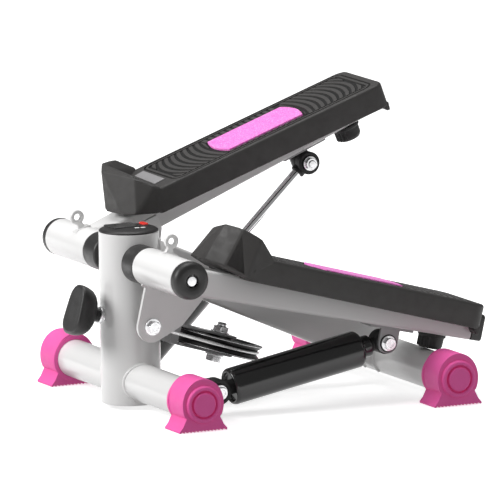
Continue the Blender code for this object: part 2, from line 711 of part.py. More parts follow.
def eye(name, radius, neck, centre, parent):
    """A round black end fitting across the damper's line."""
    half = EYE_HALF
    profile = [(0, half), (radius - 1, half), (radius, half - 1)]
    profile += [(r, -h) for r, h in reversed(profile)]
    node = turned(name, profile, "+X", centre, RUBBER, parent, 28)
    if neck:
        radius, low, high = neck
        join(node, prism(name + "_neck", 24, radius, low, high, "+Y", centre, parent=parent, cutter=True))
        cut(node, prism(name + "_bore", 20, 4.6, -40, 40, "+X", centre, parent=parent, cutter=True))


def lower_bracket(name, side, base):
    """The ear welded behind the front cross tube, and the bolt through it."""
    y, z = LOWER_PIN
    low, high = 79.4, 83.4
    ear = [(10, z + 11.5)] + arc(LOWER_PIN, 11.5, 90, -90, 14) + [(10, z - 11.5)]
    bracket = flat(name + "_lower_bracket", [ear[::-1]], *span(side, low, high), RUBBER, base)
    tube_cut = prism(
        name + "_bracket_seat", 40, TUBE_RADIUS + GAP, -160, 160, "+X", (0, 0, TUBE_HEIGHT),
        parent=base, cutter=True,
    )
    cut(bracket, tube_cut)
    cut(
        bracket,
        prism(
            name + "_bracket_hole", 20, 4.6, 60, 120, across(side), (0, y, z), parent=base, cutter=True
        ),
    )
    washer, head, shank = (DAMPER_X + EYE_HALF + GAP, 104.6, 7.6), (109.4, 6.4), (73.0, 4.2)
    bolt = hex_bolt(name + "_lower_bolt", side, washer, head, shank, (0, y, z), base)
    join(
        bolt,
        prism(
            name + "_bolt_head", 6, 6.4, 74.0, low - GAP, across(side), (0, y, z), parent=base,
            cutter=True,
        ),
    )


def cable(base):
    """The steel cable from one pedal's gusset round the wheel to the other's."""
    run = math.radians(PULLEY_TILT)
    back = Vector((0, math.cos(run), -math.sin(run)))
    centre = Vector((0, *PULLEY_CENTRE))
    wrap = []
    for i in range(25):
        a = math.radians(-6 + 192 * i / 24)
        wrap.append(
            centre + Vector((1, 0, 0)) * GROOVE_RADIUS * math.cos(a) + back * GROOVE_RADIUS * math.sin(a)
        )
    ends = []
    for side, angle in ((1, LEFT_ANGLE), (-1, RIGHT_ANGLE)):
        bolt = Vector((side * CABLE_END, *on_pedal(CABLE_BOLT, angle)))
        first = wrap[0] if side > 0 else wrap[-1]
        start = bolt + (first - bolt).normalized() * 9.2
        ends.append([start.lerp(first, i / 12) for i in range(12)])
    points = ends[0] + wrap + ends[1][::-1]
    for _ in range(2):
        inner = [(a + 2 * b + c) / 4 for a, b, c in zip(points, points[1:], points[2:])]
        points = [points[0], *inner, points[-1]]
    curve = bpy.data.curves.new("drive_cable", "CURVE")
    curve.dimensions = "3D"
    curve.bevel_depth = CABLE_RADIUS * MM
    curve.bevel_resolution = 2
    curve.use_fill_caps = True
    spline = curve.splines.new("POLY")
    spline.points.add(len(points) - 1)
    for point, position in zip(spline.points, points):
        point.co = (*(position * MM), 1)
    place(curve, "drive_cable", STEEL, base)


def build():
    base = empty("stepper_base", None, (0, -MIDDLE_Y, 0))
    post = frame(base)
    console(base)
    adjuster(base, post)
    for side, angle in ((1, LEFT_ANGLE), (-1, RIGHT_ANGLE)):
        pedal(side, angle, base)
        damper(side, angle, base)
    cable(base)
    for node in parts.objects:
        if node.type == "MESH" and "Screw" not in node.modifiers:
            node.data.shade_smooth()
            node.data.set_sharp_from_angle(angle=math.radians(35))


build()
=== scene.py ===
"""The looks of the mini stepper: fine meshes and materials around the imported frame.

Lengths are millimetres from the foot of the post (Y and Z as on the machine), turned into metres in add().
Everything on the right side is the left side's shape mirrored across the middle plane.
"""

import json
import math

import bmesh
import bpy
from mathutils import Matrix, Vector


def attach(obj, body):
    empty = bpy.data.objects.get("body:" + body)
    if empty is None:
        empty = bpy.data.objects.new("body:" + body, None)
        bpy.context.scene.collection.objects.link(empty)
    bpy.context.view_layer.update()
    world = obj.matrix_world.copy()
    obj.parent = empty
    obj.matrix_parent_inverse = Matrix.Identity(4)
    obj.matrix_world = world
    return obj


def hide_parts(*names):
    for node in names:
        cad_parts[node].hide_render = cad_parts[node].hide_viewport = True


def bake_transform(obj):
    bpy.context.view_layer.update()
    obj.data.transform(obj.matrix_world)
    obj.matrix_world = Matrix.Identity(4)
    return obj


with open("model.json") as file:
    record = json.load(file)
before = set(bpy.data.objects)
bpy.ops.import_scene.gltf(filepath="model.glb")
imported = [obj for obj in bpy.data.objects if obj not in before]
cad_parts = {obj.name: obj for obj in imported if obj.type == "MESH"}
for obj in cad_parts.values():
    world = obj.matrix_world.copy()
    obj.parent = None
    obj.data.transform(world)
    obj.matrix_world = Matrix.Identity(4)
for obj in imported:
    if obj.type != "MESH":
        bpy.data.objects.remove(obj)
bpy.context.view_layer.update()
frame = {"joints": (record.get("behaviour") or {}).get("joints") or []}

MM = 0.001
JOINTS = {joint["name"]: joint for joint in frame["joints"]}
AXLE_Y, AXLE_Z = -5.0, 149.0
POST_Y = JOINTS["left_pedal"]["pos_m"][1] - AXLE_Y * MM  # the post's centre, metres
LEFT_ANGLE, RIGHT_ANGLE, PLATE_ANGLE = -13.2, 22.0, -2.5
POST_RADIUS, POST_LOW, POST_TOP = 30.0, 4.4, 176.5
TUBE_RADIUS, TUBE_HALF, TUBE_HEIGHT, WHEELBASE = 19.0, 166.0, 27.2, 281.0
SLEEVE_IN, SLEEVE_OUT = 58.0, 146.0
ARM_IN, ARM_OUT, ARM_LOW, ARM_TOP, ARM_END = 78.0, 116.0, -17.3, 9.7, 338.0
DAMPER_X, EYE_HALF = 93.35, 9.35
UPPER_PIN, LOWER_PIN = (253.0, -34.0), (49.0, 24.5)
CYLINDER_FROM, CYLINDER_TO, COLLAR_TO, CYLINDER_RADIUS = 15.0, 161.0, 172.4, 18.7
PULLEY_CENTRE, PULLEY_TILT, PULLEY_RADIUS, GROOVE_RADIUS = (96.0, 54.5), 17.0, 45.0, 41.5
CABLE_BOLT, CABLE_END, CABLE_RADIUS = (14.0, -58.0), 44.6, 1.6
PLATE_LOW, PLATE_TOP, PLATE_HEEL, FLOOR = 10.5, 35.5, 341.0, 34.3
TREAD_LOW, TREAD_HIGH, BORDER = (45.0, 96.5), (129.0, 333.0), 7.2
PITCH, RIB = 7.2, 4.7
PAD_X, PAD_P, PAD_BOW = (58.0, 109.0), (167.0, 254.0), 5.0
WEBS = (98, 121, 144, 166, 188, 211, 233, 255, 276, 297, 318)
FLUTES, FLUTE_FIRST, FLUTE_STEP = 7, 126, 18
BUMPER_X, BUMPER_Y = 92.5, 307.0
BAND_EYE_X, BAND_EYE_Y, BAND_EYE_Z = 90.0, 2.0, 31.0
BEAM_MIDDLE, BEAM_LEAN, BEAM_HALF_WIDTH, BEAM_HALF_HEIGHT = (82.5, 120.4), -24.3, 15.0, 20.0
CONSOLE_MARKS = [(-24.0, -11.0), (-24.0, -4.5), (-24.0, 2.0), (12.5, 3.5), (12.5, 10.0)]

scene = bpy.context.scene


# ---------------------------------------------------------------- materials


class Surface:
    """A Principled material whose colour, roughness and relief vary through noise on the piece itself."""

    def __init__(self, name, colour, roughness, metallic=0.0, slot=None, **sockets):
        self.material = bpy.data.materials.new(name)
        self.material.use_nodes = True
        self.nodes, self.links = self.material.node_tree.nodes, self.material.node_tree.links
        self.shader = self.nodes["Principled BSDF"]
        self.shader.inputs["Metallic"].default_value = metallic
        self.shader.inputs["Roughness"].default_value = roughness
        self.shader.inputs["Base Color"].default_value = (*colour, 1)
        for socket, value in sockets.items():
            self.shader.inputs[socket.replace("_", " ")].default_value = value
        self.colour, self.roughness = colour, roughness
        self.place = self.nodes.new("ShaderNodeTexCoord").outputs["Object"]
        self.height = None
        self.slot = slot or name

    def link(self, a, b):
        self.links.new(a, b)

    def stretched(self, scale):
        mapping = self.nodes.new("ShaderNodeMapping")
        mapping.inputs["Scale"].default_value = scale
        self.link(self.place, mapping.inputs["Vector"])
        return mapping.outputs["Vector"]

    def noise(self, size, detail=3.0, rough=0.55, vector=None):
        """Noise with features of about size millimetres."""
        node = self.nodes.new("ShaderNodeTexNoise")
        node.inputs["Scale"].default_value = 1 / (size * MM)
        node.inputs["Detail"].default_value = detail
        node.inputs["Roughness"].default_value = rough
        self.link(vector or self.place, node.inputs["Vector"])
        return node.outputs["Fac"]

    def cells(self, size, output="Distance"):
        node = self.nodes.new("ShaderNodeTexVoronoi")
        node.inputs["Scale"].default_value = 1 / (size * MM)
        self.link(self.place, node.inputs["Vector"])
        return node.outputs[output]

    def between(self, value, low, high, to_low=0.0, to_high=1.0):
        node = self.nodes.new("ShaderNodeMapRange")
        limits = {"From Min": low, "From Max": high, "To Min": to_low, "To Max": to_high}
        for socket, number in limits.items():
            node.inputs[socket].default_value = number
        self.link(value, node.inputs["Value"])
        return node.outputs["Result"]

    def tint(self, factor, colour):
        """Mixes colour in where factor is high."""
        mix = self.nodes.new("ShaderNodeMix")
        mix.data_type = "RGBA"
        base = self.shader.inputs["Base Color"]
        if base.is_linked:
            self.link(base.links[0].from_socket, mix.inputs["A"])
        else:
            mix.inputs["A"].default_value = (*self.colour, 1)
        mix.inputs["B"].default_value = (*colour, 1)
        self.link(factor, mix.inputs["Factor"])
        self.link(mix.outputs["Result"], base)
        return self

    def polish(self, value, spread):
        """Roughness that wanders by spread about its value."""
        varied = self.between(value, 0.3, 0.7, self.roughness - spread, self.roughness + spread)
        self.link(varied, self.shader.inputs["Roughness"])
        return self

    def relief(self, value, depth, strength=1.0):
        """Bump of depth millimetres, on top of any relief before it."""
        bump = self.nodes.new("ShaderNodeBump")
        bump.inputs["Distance"].default_value = depth * MM
        bump.inputs["Strength"].default_value = strength
        self.link(value, bump.inputs["Height"])
        if self.height:
            self.link(self.height, bump.inputs["Normal"])
        self.height = bump.outputs["Normal"]
        self.link(self.height, self.shader.inputs["Normal"])
        return self

    def edges(self, low, high, share):
        """A mask on worn corners."""
        geometry = self.nodes.new("ShaderNodeNewGeometry")
        return self.between(geometry.outputs["Pointiness"], low, high, 0.0, share)


def powder_coat(name, colour, roughness, slot=None):
    paint = Surface(name, colour, roughness, slot=slot, Coat_Weight=0.25, Coat_Roughness=0.15)
    paint.relief(paint.noise(1.6, 2), 0.06, 0.5).relief(paint.noise(0.35, 2), 0.02, 0.35)
    paint.tint(paint.between(paint.noise(60, 4), 0.45, 0.75, 0, 0.03), [c * 0.86 for c in colour])
    return paint.polish(paint.noise(14), 0.015)


def moulding(name, colour, roughness, grain, depth, slot=None):
    """Spark-textured plastic or rubber, paler on its worn edges."""
    plastic = Surface(name, colour, roughness, slot=slot, Specular_IOR_Level=0.45)
    plastic.relief(plastic.cells(grain), depth, 0.55).relief(plastic.noise(grain * 4, 3), depth * 0.8, 0.4)
    plastic.tint(plastic.between(plastic.noise(35, 5), 0.42, 0.72, 0, 0.35), [c * 1.35 for c in colour])
    plastic.tint(plastic.edges(0.52, 0.6, 0.35), [min(1, c * 1.7 + 0.012) for c in colour])
    return plastic.polish(plastic.noise(9), 0.08)


def plated(name, colour, roughness, slot=None):
    steel = Surface(name, colour, roughness, 1.0, slot=slot)
    fine = steel.noise(0.5, 2, vector=steel.stretched((1.0, 0.12, 1.0)))
    steel.relief(fine, 0.02, 0.4)
    steel.tint(steel.between(steel.noise(7, 3), 0.45, 0.7, 0, 0.3), [c * 0.72 for c in colour])
    return steel.polish(steel.noise(3, 4), 0.08)


def speckled_grip():
    grip = Surface("pink_grip", (0.95, 0.17, 0.68), 0.75, Sheen_Weight=0.15)
    specks = grip.cells(1.1, "Color")
    grip.tint(grip.between(specks, 0.50, 0.62, 0, 0.55), (1.0, 0.42, 0.86))
    grip.tint(grip.between(grip.cells(0.9, "Color"), 0.62, 0.70, 0, 0.4), (0.72, 0.06, 0.46))
    grip.tint(grip.between(grip.noise(1.8, 4), 0.6, 0.66, 0, 0.5), (1.0, 0.70, 0.93))
    return grip.relief(grip.cells(1.1), 0.25, 0.8).relief(grip.noise(0.4, 2), 0.08, 0.5)


def soft_pink():
    rubber = Surface("pink_rubber", (1.0, 0.13, 0.47), 0.55, Specular_IOR_Level=0.4, Subsurface_Weight=0.06)
    rubber.shader.inputs["Subsurface Radius"].default_value = (0.004, 0.001, 0.001)
    rubber.tint(rubber.between(rubber.noise(22, 4), 0.45, 0.75, 0, 0.12), (0.90, 0.10, 0.40))
    rubber.relief(rubber.noise(0.5, 2), 0.04, 0.5)
    return rubber.polish(rubber.noise(8), 0.08)


def display_glass():
    glass = Surface("dark_display", (0.012, 0.014, 0.014), 0.12, Coat_Weight=1.0, Coat_Roughness=0.05)
    glass.tint(glass.between(glass.noise(12, 2), 0.4, 0.8, 0, 0.5), (0.03, 0.034, 0.032))
    return glass.relief(glass.noise(6, 2), 0.01, 0.3)


WHITE = powder_coat("white_powder_coat", (0.86, 0.855, 0.85), 0.3)
GREY = powder_coat("grey_steel", (0.36, 0.36, 0.365), 0.36)
ENAMEL = powder_coat("black_enamel", (0.006, 0.006, 0.006), 0.2)
CHARCOAL = moulding("charcoal_plate", (0.034, 0.032, 0.031), 0.55, 0.55, 0.06, "black_plastic")
# near-black copy of the plate plastic: painted shade for the tread's sunk floor, its border groove and the
# gap round the start button
RECESS_SHADE = moulding("painted_recess_shade", (0.004, 0.004, 0.004), 0.8, 0.55, 0.06, "black_plastic")
BLACK = moulding("black_plastic", (0.015, 0.0145, 0.0145), 0.42, 0.45, 0.05)
RUBBER = moulding("black_rubber", (0.013, 0.013, 0.013), 0.62, 0.7, 0.08)
PINK = soft_pink()
GRIP = speckled_grip()
STEEL = plated("zinc_steel", (0.74, 0.74, 0.75), 0.27)
CHROME = plated("chrome", (0.86, 0.86, 0.87), 0.10)
WIRE = plated("cable_steel", (0.80, 0.80, 0.80), 0.33, "zinc_steel")
RED = moulding("red_button", (0.80, 0.03, 0.02), 0.35, 0.5, 0.02)
GLASS = display_glass()
MARK = moulding("white_marks", (0.85, 0.85, 0.84), 0.45, 0.4, 0.01, "black_plastic")
BADGE = moulding("grey_badge", (0.24, 0.235, 0.24), 0.5, 0.4, 0.03, "black_plastic")


# ---------------------------------------------------------------- shapes, in millimetres


def ease(points, radius, closed=False, count=4):
    """The polyline with its corners rounded."""
    out = []
    for i, corner in enumerate(points):
        if not closed and i in (0, len(points) - 1):
            out.append(tuple(corner))
            continue
        here = Vector(corner)
        back, ahead = Vector(points[i - 1]) - here, Vector(points[(i + 1) % len(points)]) - here
        trim = min(radius, 0.45 * back.length, 0.45 * ahead.length)
        if trim < 0.02:
            out.append(tuple(corner))
            continue
        a, b = here + back.normalized() * trim, here + ahead.normalized() * trim
        for k in range(count + 1):
            t = k / count
            out.append(tuple(a * (1 - t) ** 2 + here * 2 * t * (1 - t) + b * t**2))
    return out


def arc(centre, radius, start, end, count):
    angles = [math.radians(start + (end - start) * i / (count - 1)) for i in range(count)]
    return [(centre[0] + radius * math.cos(a), centre[1] + radius * math.sin(a)) for a in angles]


def circle(radius, steps):
    """Points of (X, Y) once round."""
    angles = [2 * math.pi * i / steps for i in range(steps)]
    return [(radius * math.cos(a), radius * math.sin(a)) for a in angles]


def rounded(low, high, radius, count=6):
    (x0, y0), (x1, y1), r = low, high, radius
    corners = [((x1 - r, y0 + r), -90), ((x1 - r, y1 - r), 0)]
    corners += [((x0 + r, y1 - r), 90), ((x0 + r, y0 + r), 180)]
    return [point for centre, start in corners for point in arc(centre, r, start, start + 90, count)]


def bridge(bm, a, b, closed=True):
    """Quads between two rings of equal length, or a fan where one is a single point."""
    count = max(len(a), len(b))
    for i in range(count if closed else count - 1):
        j = (i + 1) % count
        corners = [a[i % len(a)], a[j % len(a)], b[j % len(b)], b[i % len(b)]]
        unique = list(dict.fromkeys(corners))
        if len(unique) > 2:
            bm.faces.new(unique)


def lathe(profile, closed=False, steps=72, soft=0.5):
    """A turned shape about Z from (radius, height) points."""
    bm = bmesh.new()
    rings = []
    for r, h in ease(profile, soft, closed):
        if r < 1e-4:
            rings.append([bm.verts.new((0, 0, h))])
            continue
        rings.append([bm.verts.new((x, y, h)) for x, y in circle(r, steps)])
    for a, b in zip(rings, rings[1:] + (rings[:1] if closed else [])):
        if len(a) > 1 or len(b) > 1:
            bridge(bm, a, b)
    bmesh.ops.recalc_face_normals(bm, faces=bm.faces)
    return bm


def hexagon(radius, low, high, bore=0.0, steps=60):
    """A hexagon head or nut about Z with its corners chamfered by a cone."""
    bm = bmesh.new()
    flat, rings = radius * math.cos(math.pi / 6), []
    for h, cone in ((low, 0.99), (high - 1.3, 1.0), (high - 0.8, 0.97), (high - 0.3, 0.90), (high, 0.84)):
        ring = []
        for i in range(steps):
            turn = 2 * math.pi * i / steps
            side = flat / math.cos((turn + math.pi / 6) % (math.pi / 3) - math.pi / 6)
            r = min(side, cone * radius)
            ring.append(bm.verts.new((r * math.cos(turn), r * math.sin(turn), h)))
        rings.append(ring)
    inner = [(bore or flat * 0.62, high), (bore or flat * 0.58, high - (6 if bore else 0.35))]
    for r, h in inner:
        rings.append([bm.verts.new((x, y, h)) for x, y in circle(r, steps)])
    for a, b in zip(rings, rings[1:]):
        bridge(bm, a, b)
    bm.faces.new(rings[0][::-1])
    bm.faces.new(rings[-1])
    bmesh.ops.recalc_face_normals(bm, faces=bm.faces)
    return bm


def thread(radius, low, high, pitch=1.5):
    """A threaded bolt end about Z."""
    turns = max(2, int((high - low) / pitch))
    profile = [(0, low)]
    for i in range(turns):
        base = low + (high - low) * i / turns
        root = radius * 0.86
        profile += [(root, base + 0.1), (radius, base + pitch * 0.5), (root, base + pitch * 0.9)]
    return lathe(profile + [(radius * 0.8, high), (0, high)], steps=40, soft=0.1)


def slab(outline, low, high, plane="side", soft=0.0):
    """An outline of (Y, Z) running along X, or for plan of (X, Y) running along Z."""
    bm = bmesh.new()
    points = ease(outline, soft, True) if soft else outline
    spot = (lambda a, b, h: (h, a, b)) if plane == "side" else (lambda a, b, h: (a, b, h))
    bottom, top = [[bm.verts.new(spot(a, b, h)) for a, b in points] for h in (low, high)]
    bridge(bm, bottom, top)
    bm.faces.new(bottom)
    bm.faces.new(top)
    bmesh.ops.recalc_face_normals(bm, faces=bm.faces)
    return bm


def block(low, high, soft=1.0, count=4):
    """A box with rounded upright edges."""
    return slab(rounded(low[:2], high[:2], soft, count), low[2], high[2], "plan")


def sweep(points, radius, sides=12, wave=0.0, lobes=0, twist=0.0, closed=False):
    """A round bar along points; wave ripples it along its run, lobes and twist give it strands."""
    bm = bmesh.new()
    points = [Vector(point) for point in points]
    count = len(points)
    across, rings, run = None, [], 0.0
    for i, point in enumerate(points):
        ahead = points[(i + 1) % count] if closed or i + 1 < count else point
        back = points[i - 1] if closed or i else point
        along = (ahead - back).normalized()
        if across is None:
            across = along.orthogonal().normalized()
        across = (across - along * across.dot(along)).normalized()
        up = along.cross(across)
        run += (point - back).length if i else 0.0
        ring = []
        for k in range(sides):
            a = 2 * math.pi * k / sides
            strands = 0.09 * math.cos(lobes * a - run * twist) if lobes else 0
            r = radius * (1 + wave * math.sin(run * 2.2) + strands)
            ring.append(bm.verts.new(point + across * r * math.cos(a) + up * r * math.sin(a)))
        rings.append(ring)
    for a, b in zip(rings, rings[1:] + (rings[:1] if closed else [])):
        bridge(bm, a, b)
    if not closed:
        bm.faces.new(rings[0][::-1])
        bm.faces.new(rings[-1])
    bmesh.ops.recalc_face_normals(bm, faces=bm.faces)
    return bm


def merged(*shapes):
    """Several shapes in one mesh."""
    whole = bmesh.new()
    for shape in shapes:
        mesh = bpy.data.meshes.new("shape")
        shape.to_mesh(mesh)
        shape.free()
        whole.from_mesh(mesh)
        bpy.data.meshes.remove(mesh)
    return whole


def moved(shape, matrix):
    shape.transform(matrix)
    return shape


# ---------------------------------------------------------------- places


def shift(x=0.0, y=0.0, z=0.0):
    return Matrix.Translation((x, y, z))


def turn(angle, axis="X"):
    return Matrix.Rotation(math.radians(angle), 4, axis)


ALONG_X, ALONG_Y = turn(90, "Y"), turn(-90)
PULLEY = shift(0, *PULLEY_CENTRE) @ turn(90 - PULLEY_TILT)


def mirror(side):
    return Matrix.Diagonal((side, 1, 1, 1))


def rotate(point, degrees):
    a = math.radians(degrees)
    return (point[0] * math.cos(a) - point[1] * math.sin(a), point[0] * math.sin(a) + point[1] * math.cos(a))


def on_pedal(point, angle):
    y, z = rotate(point, angle)
    return (AXLE_Y + y, AXLE_Z + z)


def add(name, shape, where, surface, body, *nodes, bevel=0.0, segments=3, sharp=32):
    """A finished piece: shape moved to where, riding on body and replacing the CAD's nodes."""
    shape.transform(where)
    if where.determinant() < 0:
        bmesh.ops.reverse_faces(shape, faces=shape.faces)
    shape.transform(Matrix.Diagonal((MM, MM, MM, 1)))
    shape.transform(Matrix.Translation((0, POST_Y, 0)))
    mesh = bpy.data.meshes.new(name)
    shape.to_mesh(mesh)
    shape.free()
    mesh.shade_smooth()
    mesh.set_sharp_from_angle(angle=math.radians(sharp))
    mesh.materials.append(surface.material)
    piece = bpy.data.objects.new(name, mesh)
    scene.collection.objects.link(piece)
    if bevel:
        modifier = piece.modifiers.new("Bevel", "BEVEL")
        modifier.width, modifier.segments = bevel * MM, segments
        modifier.limit_method, modifier.angle_limit = "ANGLE", math.radians(sharp)
        modifier.harden_normals = True
    if body:
        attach(piece, body)
    if nodes:
        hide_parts(*nodes)
    return piece


# ---------------------------------------------------------------- the base


def weld(name, points, body, radius=1.7, closed=False):
    """A painted weld bead with its ripple."""
    add(name, sweep(points, radius, 10, wave=0.13, closed=closed), Matrix(), WHITE, body, sharp=60)


def base_frame():
    inner = POST_RADIUS - 2.5
    post = [(POST_RADIUS, POST_LOW), (POST_RADIUS, POST_TOP), (inner, POST_TOP), (inner, POST_LOW)]
    add("post_tube", lathe(post, True, 128, 0.8), Matrix(), WHITE, "base", "front_post")
    for name, y in (("front", 0.0), ("rear", WHEELBASE)):
        pipe = [(TUBE_RADIUS, TUBE_HALF), (TUBE_RADIUS, -TUBE_HALF), (17, -TUBE_HALF), (17, TUBE_HALF)]
        where = shift(0, y, TUBE_HEIGHT) @ ALONG_X
        add(name + "_tube", lathe(pipe, True, 96, 0.6), where, WHITE, "base", name + "_cross_tube")
    half_size = (BEAM_HALF_WIDTH, BEAM_HALF_HEIGHT)
    beam = slab(rounded([-c for c in half_size], half_size, 3.2), -58, 216, "plan")
    where = shift(0, *BEAM_MIDDLE) @ turn(BEAM_LEAN) @ ALONG_Y @ turn(180, "Z")
    add("sloping_beam", beam, where, WHITE, "base", "main_beam", bevel=0.5)
    base_welds()
    profile = [(0, 156), (5.0, 156), (5.0, 150), (8.0, 150), (8.0, -150), (5.0, -150), (5.0, -156), (0, -156)]
    where = shift(0, AXLE_Y, AXLE_Z) @ ALONG_X
    add("cross_axle", lathe(profile, steps=48), where, STEEL, "base", "pedal_axle")


def base_welds():
    """Beads where the front tube, the beam and the rear tube meet their neighbours."""
    for side in (1, -1):
        ring = []
        for i in range(96):
            a = 2 * math.pi * i / 96
            y = TUBE_RADIUS * math.cos(a)
            x = side * math.sqrt((POST_RADIUS + 0.6) ** 2 - y * y)
            ring.append((x, y, TUBE_HEIGHT + TUBE_RADIUS * math.sin(a)))
        weld(f"post_weld_{'left' if side > 0 else 'right'}", ring, "base", closed=True)
    slope = math.tan(math.radians(BEAM_LEAN))
    across = [15.2 - 30.4 * i / 30 for i in range(31)]
    top = [(x, math.sqrt(POST_RADIUS**2 - x * x) + 0.5) for x in across]
    half = BEAM_HALF_HEIGHT / math.cos(math.radians(BEAM_LEAN))
    seam = [(x, y, BEAM_MIDDLE[1] + (y - BEAM_MIDDLE[0]) * slope + half) for x, y in top]
    low = [(x, y, z - 2 * half) for x, y, z in seam]
    weld("beam_weld_front", seam + low[::-1], "base", closed=True)
    centre = Vector((0, WHEELBASE, TUBE_HEIGHT))
    for side in (1, -1):
        spots = [arc((0, 0), TUBE_RADIUS + 0.4, a, a + 1, 2)[0] for a in range(62, 232, 4)]
        run = [centre + Vector((side * 15.3, *spot)) for spot in spots]
        weld(f"beam_weld_rear_{'left' if side > 0 else 'right'}", run, "base", 1.5)


def foot(name, side, y):
    """A rubber cap over the tube's end, with two raised rings and a toothed sole."""
    width, top, teeth = 22.5, 25.5, []
    dome = [(width * a, TUBE_HEIGHT + top * b) for a, b in arc((0, 0), 1.0, -27, 207, 49)]
    for i in range(13):
        x = -22.8 + 3.8 * i
        teeth += [(x - 1.5, 0.0), (x - 0.5, 1.7), (x + 0.5, 1.7), (x + 1.5, 0.0)]
    outline = dome + [(-18.4, 14.0), (-22.4, 6.0), (-26.0, 1.8), (-26.0, 0.0)] + teeth
    outline += [(26.0, 0.0), (26.0, 1.8), (22.4, 6.0), (18.4, 14.0)]
    body = slab(outline, 132, 166.9)
    where = shift(0, y) @ mirror(side)
    add(name + "_cap", body, where, PINK, "base", name, bevel=0.9, segments=2, sharp=40)
    disc = [(0, 170.9), (10.6, 171.3), (12.0, 170.6), (12.2, 167.2), (13.7, 167.2), (14.0, 169.8)]
    disc += [(15.0, 170.6), (17.0, 170.4), (18.2, 169.2), (18.8, 166.6), (0, 166.6)]
    tube = where @ shift(0, 0, TUBE_HEIGHT) @ ALONG_X
    add(name + "_rings", lathe(disc, steps=96, soft=0.7), tube, PINK, "base")
    lip = [(23.0, 131.2), (24.3, 131.6), (24.3, 135.2), (22.4, 135.6), (20.0, 135.6), (20.0, 131.2)]
    collar = lathe([(r - 0.9, h) for r, h in lip], True, 96, 0.6)
    add(name + "_lip", collar, tube, PINK, "base")
    sole = block((134, -20.5, 2.2), (166, 20.5, 5.0), 3)
    add(name + "_sole", sole, where, RUBBER, "base")


def console():
    """The domed cap on the post, with its window, its button and plain marks."""
    body = [(0, 181.0), (12, 180.95), (22, 180.4), (27.6, 179.5), (29.7, 177.9), (29.9, 176.8), (27.2, 176.6)]
    housing = lathe(body + [(27.2, 166.0), (0, 166.0)], steps=128, soft=0.9)
    add("console_shell", housing, Matrix(), BLACK, "base", "console_housing")
    bezel = slab(rounded((-19.2, -19.2), (7.2, 11.2), 2.6), 180.0, 181.5, "plan")
    add("display_bezel", bezel, Matrix(), RUBBER, "base", bevel=0.5)
    pane = slab(rounded((-17.4, -17.4), (5.4, 9.4), 1.4), 180.2, 181.7, "plan")
    add("display_pane", pane, Matrix(), GLASS, "base", "console_display", bevel=0.25)
    near, far = (-2, 19.5), (-10, 19.5)
    button = slab(arc(near, 3.0, -90, 90, 17) + arc(far, 3.0, 90, 270, 17), 176.5, 182.2, "plan")
    add("start_button", button, Matrix(), RED, "console_button", "console_button", bevel=0.8)
    # the well round the button takes the near-black recess copy: painted shade in the gap
    well = slab(arc(near, 3.7, -90, 90, 17) + arc(far, 3.7, 90, 270, 17), 178.0, 180.85, "plan")
    add("button_surround", well, Matrix(), RECESS_SHADE, "base", bevel=0.3)
    for i, (x, y) in enumerate(CONSOLE_MARKS):
        crown = 181.2 - 0.0019 * (x * x + y * y)
        outline = rounded((x - 1.7, y - 2.2), (x + 1.7, y + 2.2), 0.5)
        dash = slab(outline, crown - 1.5, crown + 0.25, "plan")
        add(f"console_mark_{i + 1}", dash, Matrix(), MARK, "base", bevel=0.15)


def knob():
    """The hand knob: a waisted neck opening into a broad fan with finger scallops."""
    sections = [(134.6, 6.0, 6.0), (139.0, 6.6, 6.3), (141.5, 8.4, 7.0), (144.0, 14.5, 9.8)]
    sections += [(147.0, 19.0, 12.8), (151.0, 22.4, 15.4), (156.0, 24.3, 17.0)]
    sections += [(161.0, 25.3, 17.8), (163.6, 25.2, 17.7), (165.0, 24.0, 16.6)]
    bm = bmesh.new()
    rings, steps = [], 72
    for height, tall, wide in sections:
        ring = []
        power = 0.66 if tall > 10 else 0.9
        for i in range(steps):
            a = 2 * math.pi * i / steps
            c, s = math.cos(a), math.sin(a)
            scallop = 1 - 0.035 * (tall / 25) ** 2 * (0.5 + 0.5 * math.cos(6 * a))
            x = wide * math.copysign(abs(c) ** power, c) * scallop
            y = tall * math.copysign(abs(s) ** power, s)
            ring.append(bm.verts.new((x * (1 - 0.16 * y / 26), y, height)))
        rings.append(ring)
    mouth = rings[-1]
    for share, height in ((0.9, 165.2), (0.62, 164.6), (0.3, 164.9)):
        ring = [bm.verts.new((v.co.x * share, v.co.y * share, height)) for v in mouth]
        rings.append(ring)
    for a, b in zip(rings, rings[1:]):
        bridge(bm, a, b)
    bm.faces.new(rings[0][::-1])
    bm.faces.new(rings[-1])
    bmesh.ops.recalc_face_normals(bm, faces=bm.faces)
    add("hand_knob", bm, PULLEY, BLACK, "knob", "adjuster_knob", sharp=50)
    lip = [(7.6, 133.6), (8.6, 134.0), (8.6, 137.0), (7.4, 137.4), (5.2, 137.4), (5.2, 133.6)]
    add("knob_ferrule", lathe(lip, True, 48, 0.5), PULLEY, STEEL, "knob")
    shank = merged(lathe([(0, 150), (4.9, 150), (4.9, 90), (0, 90)], steps=40), thread(5.0, 51, 91, 1.75))
    add("adjuster_rod", shank, PULLEY, STEEL, "knob", "adjuster_screw", sharp=60)


